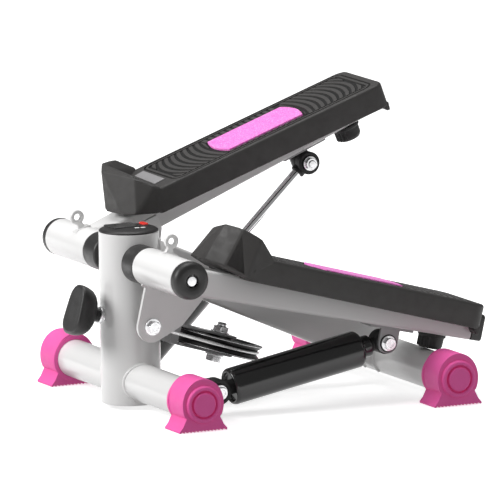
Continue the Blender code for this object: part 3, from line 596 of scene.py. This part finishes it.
def pulley():
    """The bracket's two straps, the grooved wheel and its pin."""
    half, thick, wide = 10.6, 2.4, 12
    outline = ease([(-wide, -16), (wide, -16), (wide, 50), (-wide, 50)], 7, True)
    straps = []
    for level in (half - thick, -half):
        straps.append(moved(slab(outline, 0, thick, "plan"), turn(90) @ shift(0, 0, level)))
    web = slab(rounded((-wide, -half), (wide, half), 2.2), 49.2, 57.5, "plan")
    add("pulley_fork", merged(*straps, web), PULLEY, GREY, "carriage", "pulley_bracket", bevel=0.5)
    wheel_axis = PULLEY @ ALONG_Y
    groove = [(PULLEY_RADIUS, 7.4), (PULLEY_RADIUS, 6.0), (42.0, 3.2), (GROOVE_RADIUS - 1.7, 1.2)]
    rim = groove + [(r, -h) for r, h in reversed(groove)]
    hub = [(38.0, -7.4), (36.0, -5.0), (14.0, -5.0), (12.0, -7.9), (5.4, -7.9)]
    hub += [(r, -h) for r, h in reversed(hub)]
    wheel = lathe(rim + hub, True, 128, 0.7)
    add("grooved_wheel", wheel, wheel_axis, BLACK, "pulley_wheel", "pulley_wheel")
    # bright steel beads on both rim edges of the black wheel: painted highlight where light catches its
    # flanges
    edge = [(PULLEY_RADIUS - 0.1, 7.0), (PULLEY_RADIUS + 0.1, 6.4)]
    edge += [(PULLEY_RADIUS - 0.1, 5.9), (PULLEY_RADIUS - 1, 6.4)]
    for i, flip in enumerate((1, -1)):
        ring = lathe([(r, h * flip) for r, h in edge], True, 128, 0.2)
        add(f"wheel_edge_highlight_{i + 1}", ring, wheel_axis, STEEL, "pulley_wheel")
    pin = merged(
        lathe([(0, -17.4), (5, -17.4), (5, 17.2), (0, 17.2)], steps=40),
        moved(thread(5, 0, 4.4), shift(0, 0, 16.8)),
        lathe([(0, -12.6), (9.4, -12.6), (9.4, -11.0), (0, -11.0)], steps=60, soft=0.4),
        moved(hexagon(8.6, 12.4, 18.9), turn(180)),
    )
    add("wheel_pin", pin, wheel_axis, STEEL, "carriage", "pulley_bolt")
    washer = lathe([(0, 10.9), (9.6, 10.9), (9.6, 12.0), (0, 12.0)], steps=60, soft=0.3)
    nut = merged(hexagon(8.6, 11.0, 17.2, 5.2), washer)
    add("wheel_pin_nut", nut, wheel_axis, STEEL, "carriage", "pulley_nut")


def cable():
    """The steel cable: round the wheel with the carriage, and one run to each pedal's gusset."""
    run = math.radians(PULLEY_TILT)
    back = Vector((0, math.cos(run), -math.sin(run)))
    centre = Vector((0, *PULLEY_CENTRE))
    side_way = Vector((1, 0, 0))
    wrap = []
    for i in range(121):
        a = math.radians(-6 + 192 * i / 120)
        wrap.append(centre + side_way * GROOVE_RADIUS * math.cos(a) + back * GROOVE_RADIUS * math.sin(a))
    ends = {}
    for side, angle in ((1, LEFT_ANGLE), (-1, RIGHT_ANGLE)):
        name = "left" if side > 0 else "right"
        bolt = Vector((side * CABLE_END, *on_pedal(CABLE_BOLT, angle)))
        first = wrap[0] if side > 0 else wrap[-1]
        way = (bolt - first).normalized()
        stop = bolt - way * 9.0
        ends[side] = first + way * 7
        path = [first.lerp(stop, i / 60) for i in range(61)]
        strand = sweep(path, CABLE_RADIUS, 24, 0, 6, 2.0)
        piece = add(name + "_cable_run", strand, Matrix(), WIRE, None, sharp=80)
        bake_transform(piece)
        eyelet = [(4.2, 1.9), (8.2, 1.9), (8.6, 0.0), (8.2, -1.9), (4.2, -1.9)]
        where = shift(*bolt) @ ALONG_X
        ferrule = sweep([bolt - way * 17, bolt - way * 7], 2.9, 24)
        add(name + "_cable_eye", lathe(eyelet, True, 48, 0.6), where, RUBBER, name + "_pedal")
        add(name + "_cable_ferrule", ferrule, Matrix(), RUBBER, name + "_pedal", bevel=0.5)
    path = [ends[1]] + wrap + [ends[-1]]
    piece = add("cable_wrap", sweep(path, CABLE_RADIUS, 24, 0, 6, 2.0), Matrix(), WIRE, "carriage", sharp=80)
    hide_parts("drive_cable")


# ---------------------------------------------------------------- one pedal


def bolt(name, x, head, where, body, nodes, washer=7.8):
    """A hexagon head on a washer, facing outwards along X from x."""
    shape = merged(
        lathe([(0, x), (washer, x), (washer, x + 1.5), (0, x + 1.5)], steps=60, soft=0.4),
        hexagon(6.5, x + 1.4, x + 1.4 + head),
    )
    add(name, shape, where @ ALONG_X, STEEL, body, *nodes)


def sleeve_and_arm(name, hinge, body):
    along = hinge @ ALONG_X
    pipe = [(TUBE_RADIUS, SLEEVE_OUT), (TUBE_RADIUS, SLEEVE_IN), (16.5, SLEEVE_IN), (16.5, SLEEVE_OUT)]
    add(name + "_sleeve_tube", lathe(pipe, True, 96, 0.5), along, WHITE, body, name + "_pivot_sleeve")
    bush = [(18.6, 57.7), (19.2, 56.6), (19.2, 33.2), (18.0, 31.2), (8.6, 31.2), (8.6, 60)]
    bush += [(16.4, 60), (16.4, 57.7)]
    add(name + "_bush", lathe(bush, True, 96, 0.8), along, BLACK, body, name + "_inner_bush")
    cap = [(6.5, 157.2), (9.0, 158.0), (13.5, 158.2), (17.0, 156.6), (18.9, 153.4), (19.1, 150.0)]
    cap += [(19.1, 146.4), (16.0, 146.4), (16.0, 140), (8.4, 140), (8.4, 151.0), (6.5, 151.4)]
    add(name + "_end_cap", lathe(cap, True, 96, 1.6), along, BLACK, body, name + "_outer_cap")
    screw = lathe([(0, 154.6), (4.4, 154.6), (5.2, 154.0), (5.2, 150), (0, 150)], steps=48, soft=0.6)
    add(name + "_axle_screw", screw, along, STEEL, "base")
    bar = slab(rounded((ARM_IN, ARM_LOW), (ARM_OUT, ARM_TOP), 3.4), 13.5, ARM_END, "plan")
    upright = Matrix(((1, 0, 0, 0), (0, 0, 1, 0), (0, 1, 0, 0), (0, 0, 0, 1)))
    moved(bar, upright)
    bmesh.ops.recalc_face_normals(bar, faces=bar.faces)
    add(name + "_arm_tube", bar, hinge, WHITE, body, name + "_pedal_arm", bevel=0.5)
    stop = slab(rounded((ARM_IN, ARM_LOW), (ARM_OUT, ARM_TOP), 3.8), ARM_END + 0.2, ARM_END + 13.0, "plan")
    moved(stop, upright)
    bmesh.ops.recalc_face_normals(stop, faces=stop.faces)
    add(name + "_arm_end_plug", stop, hinge, BLACK, body, name + "_arm_plug", bevel=1.6)
    seam = [(ARM_IN, ARM_TOP), (ARM_OUT, ARM_TOP), (ARM_OUT, ARM_LOW), (ARM_IN, ARM_LOW)]
    points = []
    for (x0, z0), (x1, z1) in zip(seam, seam[1:] + seam[:1]):
        for i in range(24):
            x, z = x0 + (x1 - x0) * i / 24, z0 + (z1 - z0) * i / 24
            points.append(hinge @ Vector((x, math.sqrt((TUBE_RADIUS + 0.5) ** 2 - z * z), z)))
    weld(name + "_arm_weld", points, body, 1.5, closed=True)
    bumper(name, hinge, body)


def bumper(name, hinge, body):
    """The rubber stop under the arm: a round cup with upright flutes on its toe side."""
    centre = shift(BUMPER_X, BUMPER_Y)
    cup = [(0, ARM_LOW - 0.2), (14.2, ARM_LOW - 0.2), (14.2, ARM_LOW - 3.4), (12.8, ARM_LOW - 4.2)]
    cup += [(12.4, -30.0), (10.6, -33.2), (0, -33.5)]
    shape = [moved(lathe(cup, steps=96, soft=0.8), centre)]
    for i in range(FLUTES):
        ridge = block((-1.1, 10.6, -32.0), (1.1, 13.4, ARM_LOW - 2.0), 0.8, 3)
        shape.append(moved(ridge, centre @ turn(FLUTE_FIRST + FLUTE_STEP * i, "Z")))
    add(name + "_stop_block", merged(*shape), hinge, RUBBER, body, name + "_bumper", bevel=0.9, segments=2)


def gusset(name, hinge, body):
    lobe = arc(CABLE_BOLT, 16.0, 180, 308, 24)
    outline = [(-2.0, -17.0)] + lobe + [(46.7, -52.0), (70.5, -11.0), (70.5, 4.0), (10.0, 4.0)]
    plate = slab(outline, SLEEVE_IN + 0.2, SLEEVE_IN + 4.2)
    add(name + "_gusset_plate", plate, hinge, WHITE, body, name + "_gusset", bevel=0.6)
    where = hinge @ shift(0, *CABLE_BOLT)
    bolt(name + "_gusset_bolt", 62.4, 4.8, where, body, [name + "_cable_bolt"], 8.6)
    nut = merged(moved(hexagon(8.0, -57.6, -50.2, 4.1), turn(180)), thread(4.0, 47.2, 58.0, 1.25))
    add(name + "_gusset_nut", nut, where @ ALONG_X, STEEL, body)
    bead = []
    for i in range(40):
        a = math.radians(250 + 105 * i / 39)
        y, z = (TUBE_RADIUS + 0.6) * math.cos(a), (TUBE_RADIUS + 0.6) * math.sin(a)
        bead.append(hinge @ Vector((SLEEVE_IN + 4.4, y, z)))
    weld(name + "_gusset_weld", bead, body, 1.3)


def band_eye(name, hinge, body):
    """The ring for an elastic band, on its foot on the sleeve."""
    ring = [(7.4, 2.5), (7.4, -2.5), (3.4, -2.5), (3.4, 2.5)]
    loop = lathe(ring, True, 72, 1.4)
    moved(loop, shift(BAND_EYE_X, BAND_EYE_Y, BAND_EYE_Z) @ ALONG_X)
    neck = slab([(-2.6, 18.4), (6.6, 18.4), (4.6, 24.8), (-0.6, 24.8)], 87.6, 92.4)
    base = slab([(-7, 17.4), (-7, 18.4), (-4, 19.4), (8, 19.4), (11, 18.4), (11, 15.8)], 85.6, 94.4)
    add(name + "_band_ring", merged(loop, neck, base), hinge, WHITE, body, name + "_band_eye", bevel=0.5)


def clevis(name, hinge, body):
    """The strip and ear under the arm with the damper's upper bolt."""
    top, y, z = ARM_LOW - 0.2, *UPPER_PIN
    strip = block((84, 229, top - 2.6), (107, 279, top), 1.5)
    ear = [(y - 10.5, top - 1)] + arc(UPPER_PIN, 10.5, 180, 360, 40) + [(y + 10.5, top - 1)]
    bracket = merged(strip, slab(ear, 103.2, 106.7))
    add(name + "_clevis", bracket, hinge, GREY, body, name + "_upper_bracket", bevel=0.5)
    where = hinge @ shift(0, y, z)
    bolt(name + "_clevis_bolt", 107.0, 4.8, where, body, [name + "_upper_bolt"])
    ring = lathe([(9.0, 107.4), (9.0, 106.6), (7.4, 106.6), (7.4, 107.4)], True, 60, 0.3)
    add(name + "_bolt_ring", ring, where @ ALONG_X, RUBBER, body)


# ---------------------------------------------------------------- foot plates


# the plate seen from above as (x, p), then the toe guard's corners as (x, p, q) from the pedal's axis
PLAN = [(43.5, 70), (135, 71), (132, 333), (126, PLATE_HEEL), (46, PLATE_HEEL), (39, 334)]
SOLE = [(50, 46, 19), (64, 38, 20), (100, 35.5, 20), (119, 49, 19), (135, 69, 12.5)]
SOLE += [(43.5, 66, 12.5), (43.5, 76, 10.8), (135, 78, 10.8)]
CREST = [(57, 60, 53), (104, 47, 60), (125, 58, 60), (43.5, 72, 40), (43.5, 80, 34.5)]
CREST += [(122, 81, 34.5), (135, 79, 34.5)]
FIN = [(112, 52, 58), (104, 47, 60), (125, 58, 60), (135, 76, 55), (135, 98, 34)]
FIN += [(121, 82, 34), (119, 49, 19), (135, 69, 12.5), (135, 84, 30), (120, 70, 20)]


def inset(points, depth):
    """A closed convex outline moved inwards along its corners' middle directions."""
    middle = sum((Vector(point) for point in points), Vector((0, 0))) / len(points)
    out = []
    for i, point in enumerate(points):
        a, b = Vector(points[i - 1]), Vector(points[(i + 1) % len(points)])
        along = (b - a).normalized()
        normal = Vector((-along.y, along.x))
        if normal.dot(middle - Vector(point)) < 0:
            normal = -normal
        out.append(tuple(Vector(point) + normal * depth))
    return out


def shoe(name, where, body):
    """The moulded plate: skirt with rolled edges, sunk tread with a double border, ribs and grip pad."""
    bm = bmesh.new()
    plan = ease(PLAN, 5.0, True, 6)
    levels = [(0.6, PLATE_LOW), (0.0, PLATE_LOW + 0.7), (0.0, PLATE_TOP - 3.2), (0.25, PLATE_TOP - 1.9)]
    levels += [(0.95, PLATE_TOP - 0.8), (1.9, PLATE_TOP - 0.2), (3.0, PLATE_TOP)]
    rings = [[bm.verts.new((x, p, q)) for x, p in inset(plan, depth)] for depth, q in levels]
    for a, b in zip(rings, rings[1:]):
        bridge(bm, a, b)
    inner = [(3.2, PLATE_LOW), (3.4, 30.8)]
    hollow = [[bm.verts.new((x, p, q)) for x, p in inset(plan, depth)] for depth, q in inner]
    bridge(bm, rings[0], hollow[0])
    bridge(bm, hollow[0], hollow[1])
    bm.faces.new(hollow[1])
    border = [(0.0, PLATE_TOP), (0.3, FLOOR), (2.0, FLOOR), (2.3, PLATE_TOP)]
    border += [(4.8, PLATE_TOP), (5.1, FLOOR)]
    tread = []
    for depth, q in border:
        low, high = [c + depth for c in TREAD_LOW], [c - depth for c in TREAD_HIGH]
        tread.append([bm.verts.new((x, p, q)) for x, p in rounded(low, high, 12 - depth, 12)])
    for a, b in zip(tread, tread[1:]):
        bridge(bm, a, b)
    sunk = set(tread[1] + tread[2])
    dark = [face for face in bm.faces if sunk.issuperset(face.verts)]
    bottom = [tuple(v.co) for v in tread[-1]]
    bm.edges.ensure_lookup_table()
    loops = [edge for ring in (rings[-1], tread[0]) for edge in ring_edges(bm, ring)]
    bmesh.ops.triangle_fill(bm, use_beauty=True, use_dissolve=False, edges=loops)
    bmesh.ops.recalc_face_normals(bm, faces=bm.faces)
    # the sunk border's floor faces take the near-black recess copy: painted shade in the groove
    for face in dark:
        face.material_index = 1
    shell = add(name + "_plate_shell", bm, where, CHARCOAL, body, name + "_foot_plate", sharp=28)
    shell.data.materials.append(RECESS_SHADE.material)
    floor = bmesh.new()
    floor.faces.new([floor.verts.new(co) for co in bottom])
    # the tread floor between the ribs is near-black: painted shade in the recess
    add(name + "_tread_floor", floor, where, RECESS_SHADE, body)
    add(name + "_tread_ribs", tread_ribs(), where, CHARCOAL, body, sharp=28)
    add(name + "_pad_mat", grip_pad(), where, GRIP, body, name + "_grip_pad", sharp=40)
    under_ribs(name, where, body)
    toe(name, where, body)


def ring_edges(bm, ring):
    return [bm.edges.get((a, b)) or bm.edges.new((a, b)) for a, b in zip(ring, ring[1:] + ring[:1])]


def bar(bm, lows, highs):
    """One rib: a low bar with sloping sides between two lines of (x, p) points."""
    lip, rows = 0.35, []
    for (x, low), (_, high) in zip(lows, highs):
        section = [(low, FLOOR), (low + lip, PLATE_TOP), (high - lip, PLATE_TOP), (high, FLOOR)]
        rows.append([bm.verts.new((x, p, q)) for p, q in section])
    for a, b in zip(rows, rows[1:]):
        bridge(bm, a, b, closed=False)
    bm.faces.new(rows[0])
    bm.faces.new(rows[-1][::-1])


def tread_ribs():
    """Bowed ribs before and behind the pad, and short rungs beside it."""
    bm = bmesh.new()
    left, right = TREAD_LOW[0] + BORDER, TREAD_HIGH[0] - BORDER
    centre, half = (left + right) / 2, (right - left) / 2
    low_end, high_end = TREAD_LOW[1] + BORDER, TREAD_HIGH[1] - BORDER
    xs = [left + (right - left) * i / 36 for i in range(37)]

    def pad_edge(x, sign):
        t = (x - PAD_X[0]) / (PAD_X[1] - PAD_X[0])
        bulge = PAD_BOW * math.sin(math.pi * t) if 0 < t < 1 else 0.0
        return (PAD_P[0] - bulge - 2.2) if sign < 0 else (PAD_P[1] + bulge + 2.2)

    for sign, start, end in ((-1, PAD_P[0], low_end), (1, PAD_P[1], high_end)):
        count = int((abs(end - start) + 12) / PITCH) + 1
        for k in range(count):
            bow = 5.5 + 0.55 * k
            lows, highs = [], []
            for x in xs:
                bulge = bow * (1 - ((x - centre) / half) ** 2)
                near = start + sign * (k * PITCH + 3.0 - 5.5 + bulge)
                far = near + sign * RIB
                a, b = sorted((near, far))
                if sign < 0:
                    a, b = max(a, end), min(b, pad_edge(x, sign))
                else:
                    a, b = max(a, pad_edge(x, sign)), min(b, end)
                if b - a < 1.0:
                    if len(lows) > 1:
                        bar(bm, lows, highs)
                    lows, highs = [], []
                    continue
                lows.append((x, a))
                highs.append((x, b))
            if len(lows) > 1:
                bar(bm, lows, highs)
    p = PAD_P[0] - 1.0
    while p < PAD_P[1] - 2:
        for x0, x1 in ((left, PAD_X[0] - 1.8), (PAD_X[1] + 1.8, right)):
            bar(bm, [(x0, p), (x1, p)], [(x0, p + RIB), (x1, p + RIB)])
        p += PITCH
    bmesh.ops.recalc_face_normals(bm, faces=bm.faces)
    return bm


def pad_outline(grow):
    left, right, front, rear = PAD_X[0] - grow, PAD_X[1] + grow, PAD_P[0] - grow, PAD_P[1] + grow
    steps = [i / 24 for i in range(25)]
    low = [(left + (right - left) * t, front - PAD_BOW * math.sin(math.pi * t)) for t in steps]
    return low + [(right + (left - right) * t, rear + PAD_BOW * math.sin(math.pi * t)) for t in steps]


def grip_pad():
    bm = bmesh.new()
    levels = [(0.0, FLOOR), (0.0, 36.0), (-0.35, 36.5), (-1.0, 36.7), (-2.6, 36.75), (-3.0, 36.55)]
    levels += [(-4.4, 36.5)]
    rings = [[bm.verts.new((x, p, q)) for x, p in pad_outline(grow)] for grow, q in levels]
    for a, b in zip(rings, rings[1:]):
        bridge(bm, a, b)
    bm.faces.new(rings[-1])
    bm.faces.new(rings[0][::-1])
    bmesh.ops.recalc_face_normals(bm, faces=bm.faces)
    return bm


def under_ribs(name, where, body):
    """The stiffening web under the deck, each side of the arm, and the heel's tail."""
    walls = []
    for p in WEBS:
        for x0, x1 in ((45.0, ARM_IN - 1.5), (ARM_OUT + 1.5, 129.0)):
            walls.append(block((x0, p - 0.9, 14.5), (x1, p + 0.9, 31.5), 0.4, 2))
    for x in (60, ARM_IN - 1.6, ARM_OUT + 1.6):
        walls.append(block((x - 0.9, 92, 14.5), (x + 0.9, 336, 31.5), 0.4, 2))
    add(name + "_plate_web", merged(*walls), where, CHARCOAL, body)
    tail = slab([(333.8, 13), (333.8, 8.5), (336.5, 5.2), (339.0, 5.0), (340.4, 8.0), (340.8, 13)], 44, 128)
    cheek = [(334.4, 13), (336.8, 4.6), (340.0, 4.6), (340.9, 13)]
    heel = merged(slab(cheek, 43.6, 52), tail, slab(cheek, 120, 128.4))
    add(name + "_heel_tail", heel, where, CHARCOAL, body, bevel=0.7, segments=2)


def toe(name, where, body):
    """The toe guard: a block, a higher fin on its outer side, and the plain badge behind them."""
    for part, points in (("toe_guard", SOLE + CREST), ("toe_fin", FIN)):
        bm = bmesh.new()
        result = bmesh.ops.convex_hull(bm, input=[bm.verts.new(point) for point in points])
        inside = result["geom_interior"] + result["geom_unused"]
        spare = {item for item in inside if isinstance(item, bmesh.types.BMVert)}
        bmesh.ops.delete(bm, geom=list(spare), context="VERTS")
        bmesh.ops.dissolve_limit(bm, angle_limit=math.radians(4), verts=bm.verts, edges=bm.edges)
        bmesh.ops.recalc_face_normals(bm, faces=bm.faces)
        add(f"{name}_{part}", bm, where, CHARCOAL, body, bevel=2.4, segments=4, sharp=12)
    badge = slab([(62, 80.5), (113, 82.5), (115, 94), (63.5, 93)], PLATE_TOP - 0.5, PLATE_TOP + 0.9, "plan")
    add(name + "_toe_badge", badge, where, BADGE, body, bevel=0.4)


# ---------------------------------------------------------------- dampers


def damper(name, side, angle):
    top = on_pedal(UPPER_PIN, angle)
    run = (top[0] - LOWER_PIN[0], top[1] - LOWER_PIN[1])
    length, lean = math.hypot(*run), math.degrees(math.atan2(run[1], run[0]))
    swing = shift(0, *LOWER_PIN) @ turn(lean) @ mirror(side)
    line = swing @ shift(DAMPER_X) @ ALONG_Y
    body, rod = name + "_damper_body", name + "_damper_rod"
    r = CYLINDER_RADIUS
    case = [(5.4, 150), (5.4, COLLAR_TO), (9.6, COLLAR_TO), (11.0, COLLAR_TO - 1.2), (11.0, CYLINDER_TO + 2)]
    case += [(12.4, CYLINDER_TO), (16.4, CYLINDER_TO), (r, CYLINDER_TO - 3.0), (r, CYLINDER_FROM + 2.6)]
    case += [(17.4, CYLINDER_FROM), (15.0, CYLINDER_FROM)]
    case += [(14.0, CYLINDER_FROM + 3.5), (0, CYLINDER_FROM + 3.5)]
    shell = lathe(case, steps=128, soft=1.4)
    add(name + "_damper_case", shell, line, ENAMEL, body, name + "_damper_cylinder")
    seal = lathe([(5.1, 170.6), (7.6, 170.6), (7.6, 172.5), (5.1, 172.5)], True, 60, 0.4)
    add(name + "_rod_seal", seal, line, RUBBER, body)
    neck = lathe([(0, 6), (7.0, 6), (7.5, 10), (7.5, 20), (0, 20)], steps=48)
    across = ALONG_X.inverted() @ ALONG_Y
    low_eye = merged(lathe(eye_profile(13.0), steps=72, soft=1.2), moved(neck, across))
    low_at = swing @ shift(DAMPER_X) @ ALONG_X
    add(name + "_lower_eyelet", low_eye, low_at, RUBBER, body, name + "_lower_eye")
    rod_at = swing @ shift(0, length)
    rod_shape = lathe([(0, -8.0), (5.0, -8.0), (5.0, -104.0), (4.2, -105.0), (0, -105.0)], steps=72)
    rod_line = rod_at @ shift(DAMPER_X) @ ALONG_Y
    add(name + "_chrome_rod", rod_shape, rod_line, CHROME, rod, name + "_damper_rod")
    socket = lathe([(0, -7), (7.2, -7), (7.2, -13.4), (6.4, -14.2), (0, -14.2)], steps=48)
    high_eye = merged(lathe(eye_profile(11.6), steps=72, soft=1.2), moved(socket, across))
    high_at = rod_at @ shift(DAMPER_X) @ ALONG_X
    add(name + "_upper_eyelet", high_eye, high_at, RUBBER, rod, name + "_upper_eye")
    inner = DAMPER_X - EYE_HALF - 0.3
    nut = merged(
        lathe([(0, -inner), (7.4, -inner), (7.4, -inner + 1.5), (0, -inner + 1.5)], steps=48, soft=0.3),
        hexagon(6.6, -inner + 1.2, -inner + 5.4, 4.1),
        thread(4.0, -inner, -inner + 6.4, 1.25),
    )
    add(name + "_eye_nut", nut, rod_at @ ALONG_X @ turn(180), STEEL, rod, name + "_upper_nut")
    lower_mount(name, side)


def eye_profile(radius):
    """A damper's eye in section, with a shallow groove round its middle."""
    half = EYE_HALF
    rim = [(0, half - 0.6), (radius - 4, half - 0.6), (radius - 3.4, half), (radius, half), (radius, 3.2)]
    return rim + [(radius - 0.5, 2.6)] + [(r, -h) for r, h in reversed(rim)]


def lower_mount(name, side):
    """The ear behind the front tube with the damper's lower bolt."""
    y, z = LOWER_PIN
    ear = [(12, z + 11.5)] + arc(LOWER_PIN, 11.5, 90, -90, 40) + [(12, z - 11.5)]
    where = mirror(side)
    plate = slab(ear, 79.4, 83.4)
    add(name + "_rear_ear", plate, where, ENAMEL, "base", name + "_lower_bracket", bevel=0.5)
    at = where @ shift(0, y, z)
    bolt(name + "_lower_screw", DAMPER_X + EYE_HALF + 0.2, 4.6, at, "base", [name + "_lower_bolt"])
    nut = merged(moved(hexagon(6.5, -79.2, -73.6, 4.2), turn(180)), thread(4.1, 71.6, 80, 1.25))
    add(name + "_lower_nut", nut, at @ ALONG_X, STEEL, "base")


# ---------------------------------------------------------------- stage, light and camera


def studio():
    world = bpy.data.worlds.new("studio")
    scene.world = world
    world.use_nodes = True
    background = world.node_tree.nodes["Background"]
    background.inputs["Color"].default_value = (1.0, 1.0, 1.0, 1)
    background.inputs["Strength"].default_value = 0.30
    bm = bmesh.new()
    bmesh.ops.create_grid(bm, x_segments=2, y_segments=2, size=30)
    mesh = bpy.data.meshes.new("floor")
    bm.to_mesh(mesh)
    bm.free()
    floor = bpy.data.objects.new("floor", mesh)
    floor.location.z = -0.0004
    scene.collection.objects.link(floor)
    floor.visible_diffuse = False
    glow = {"Emission_Color": (1, 1, 1, 1), "Emission_Strength": 0.62}
    pale = Surface("pale_floor", (0.93, 0.93, 0.93), 0.9, **glow)
    mesh.materials.append(pale.material)
    lights = [("top", (-0.5, 0.0, 3.0), 58, 2.4), ("key", (-0.4, -2.4, 1.5), 52, 1.2)]
    lights += [("rim", (1.6, 1.8, 1.2), 3, 1.0)]
    for name, place, power, size in lights:
        light = bpy.data.lights.new(name, "AREA")
        light.energy, light.size = power, size
        lamp = bpy.data.objects.new(name, light)
        lamp.location = place
        lamp.rotation_euler = (Vector((0, 0, 0.12)) - Vector(place)).to_track_quat("-Z", "Y").to_euler()
        scene.collection.objects.link(lamp)
    scene.view_settings.view_transform = "Standard"


def camera():
    azimuth, elevation, roll = [math.radians(angle) for angle in (64.29, 9.67, -0.82)]
    distance = 12.0
    target = Vector((0.3, -0.01073 + POST_Y, 0.20211))
    level = math.cos(elevation)
    toward = Vector((math.sin(azimuth) * level, -math.cos(azimuth) * level, math.sin(elevation)))
    lens = bpy.data.cameras.new("camera")
    lens.lens, lens.sensor_width, lens.clip_end = 888.9, 36.0, 100.0
    viewer = bpy.data.objects.new("camera", lens)
    turned = (-toward).to_track_quat("-Z", "Y").to_matrix().to_4x4() @ Matrix.Rotation(roll, 4, "Z")
    viewer.matrix_world = Matrix.Translation(target + toward * distance) @ turned
    scene.collection.objects.link(viewer)
    scene.camera = viewer


camera()
studio()
base_frame()
for end_name, end_y in (("front", 0.0), ("rear", WHEELBASE)):
    foot(end_name + "_left_foot", 1, end_y)
    foot(end_name + "_right_foot", -1, end_y)
console()
knob()
pulley()
cable()
for side_name, side_sign, side_angle in (("left", 1, LEFT_ANGLE), ("right", -1, RIGHT_ANGLE)):
    pedal_hinge = shift(0, AXLE_Y, AXLE_Z) @ turn(side_angle) @ mirror(side_sign)
    pedal_body = side_name + "_pedal"
    sleeve_and_arm(side_name, pedal_hinge, pedal_body)
    gusset(side_name, pedal_hinge, pedal_body)
    band_eye(side_name, pedal_hinge, pedal_body)
    clevis(side_name, pedal_hinge, pedal_body)
    shoe(side_name, pedal_hinge @ turn(PLATE_ANGLE), pedal_body)
    damper(side_name, side_sign, side_angle)
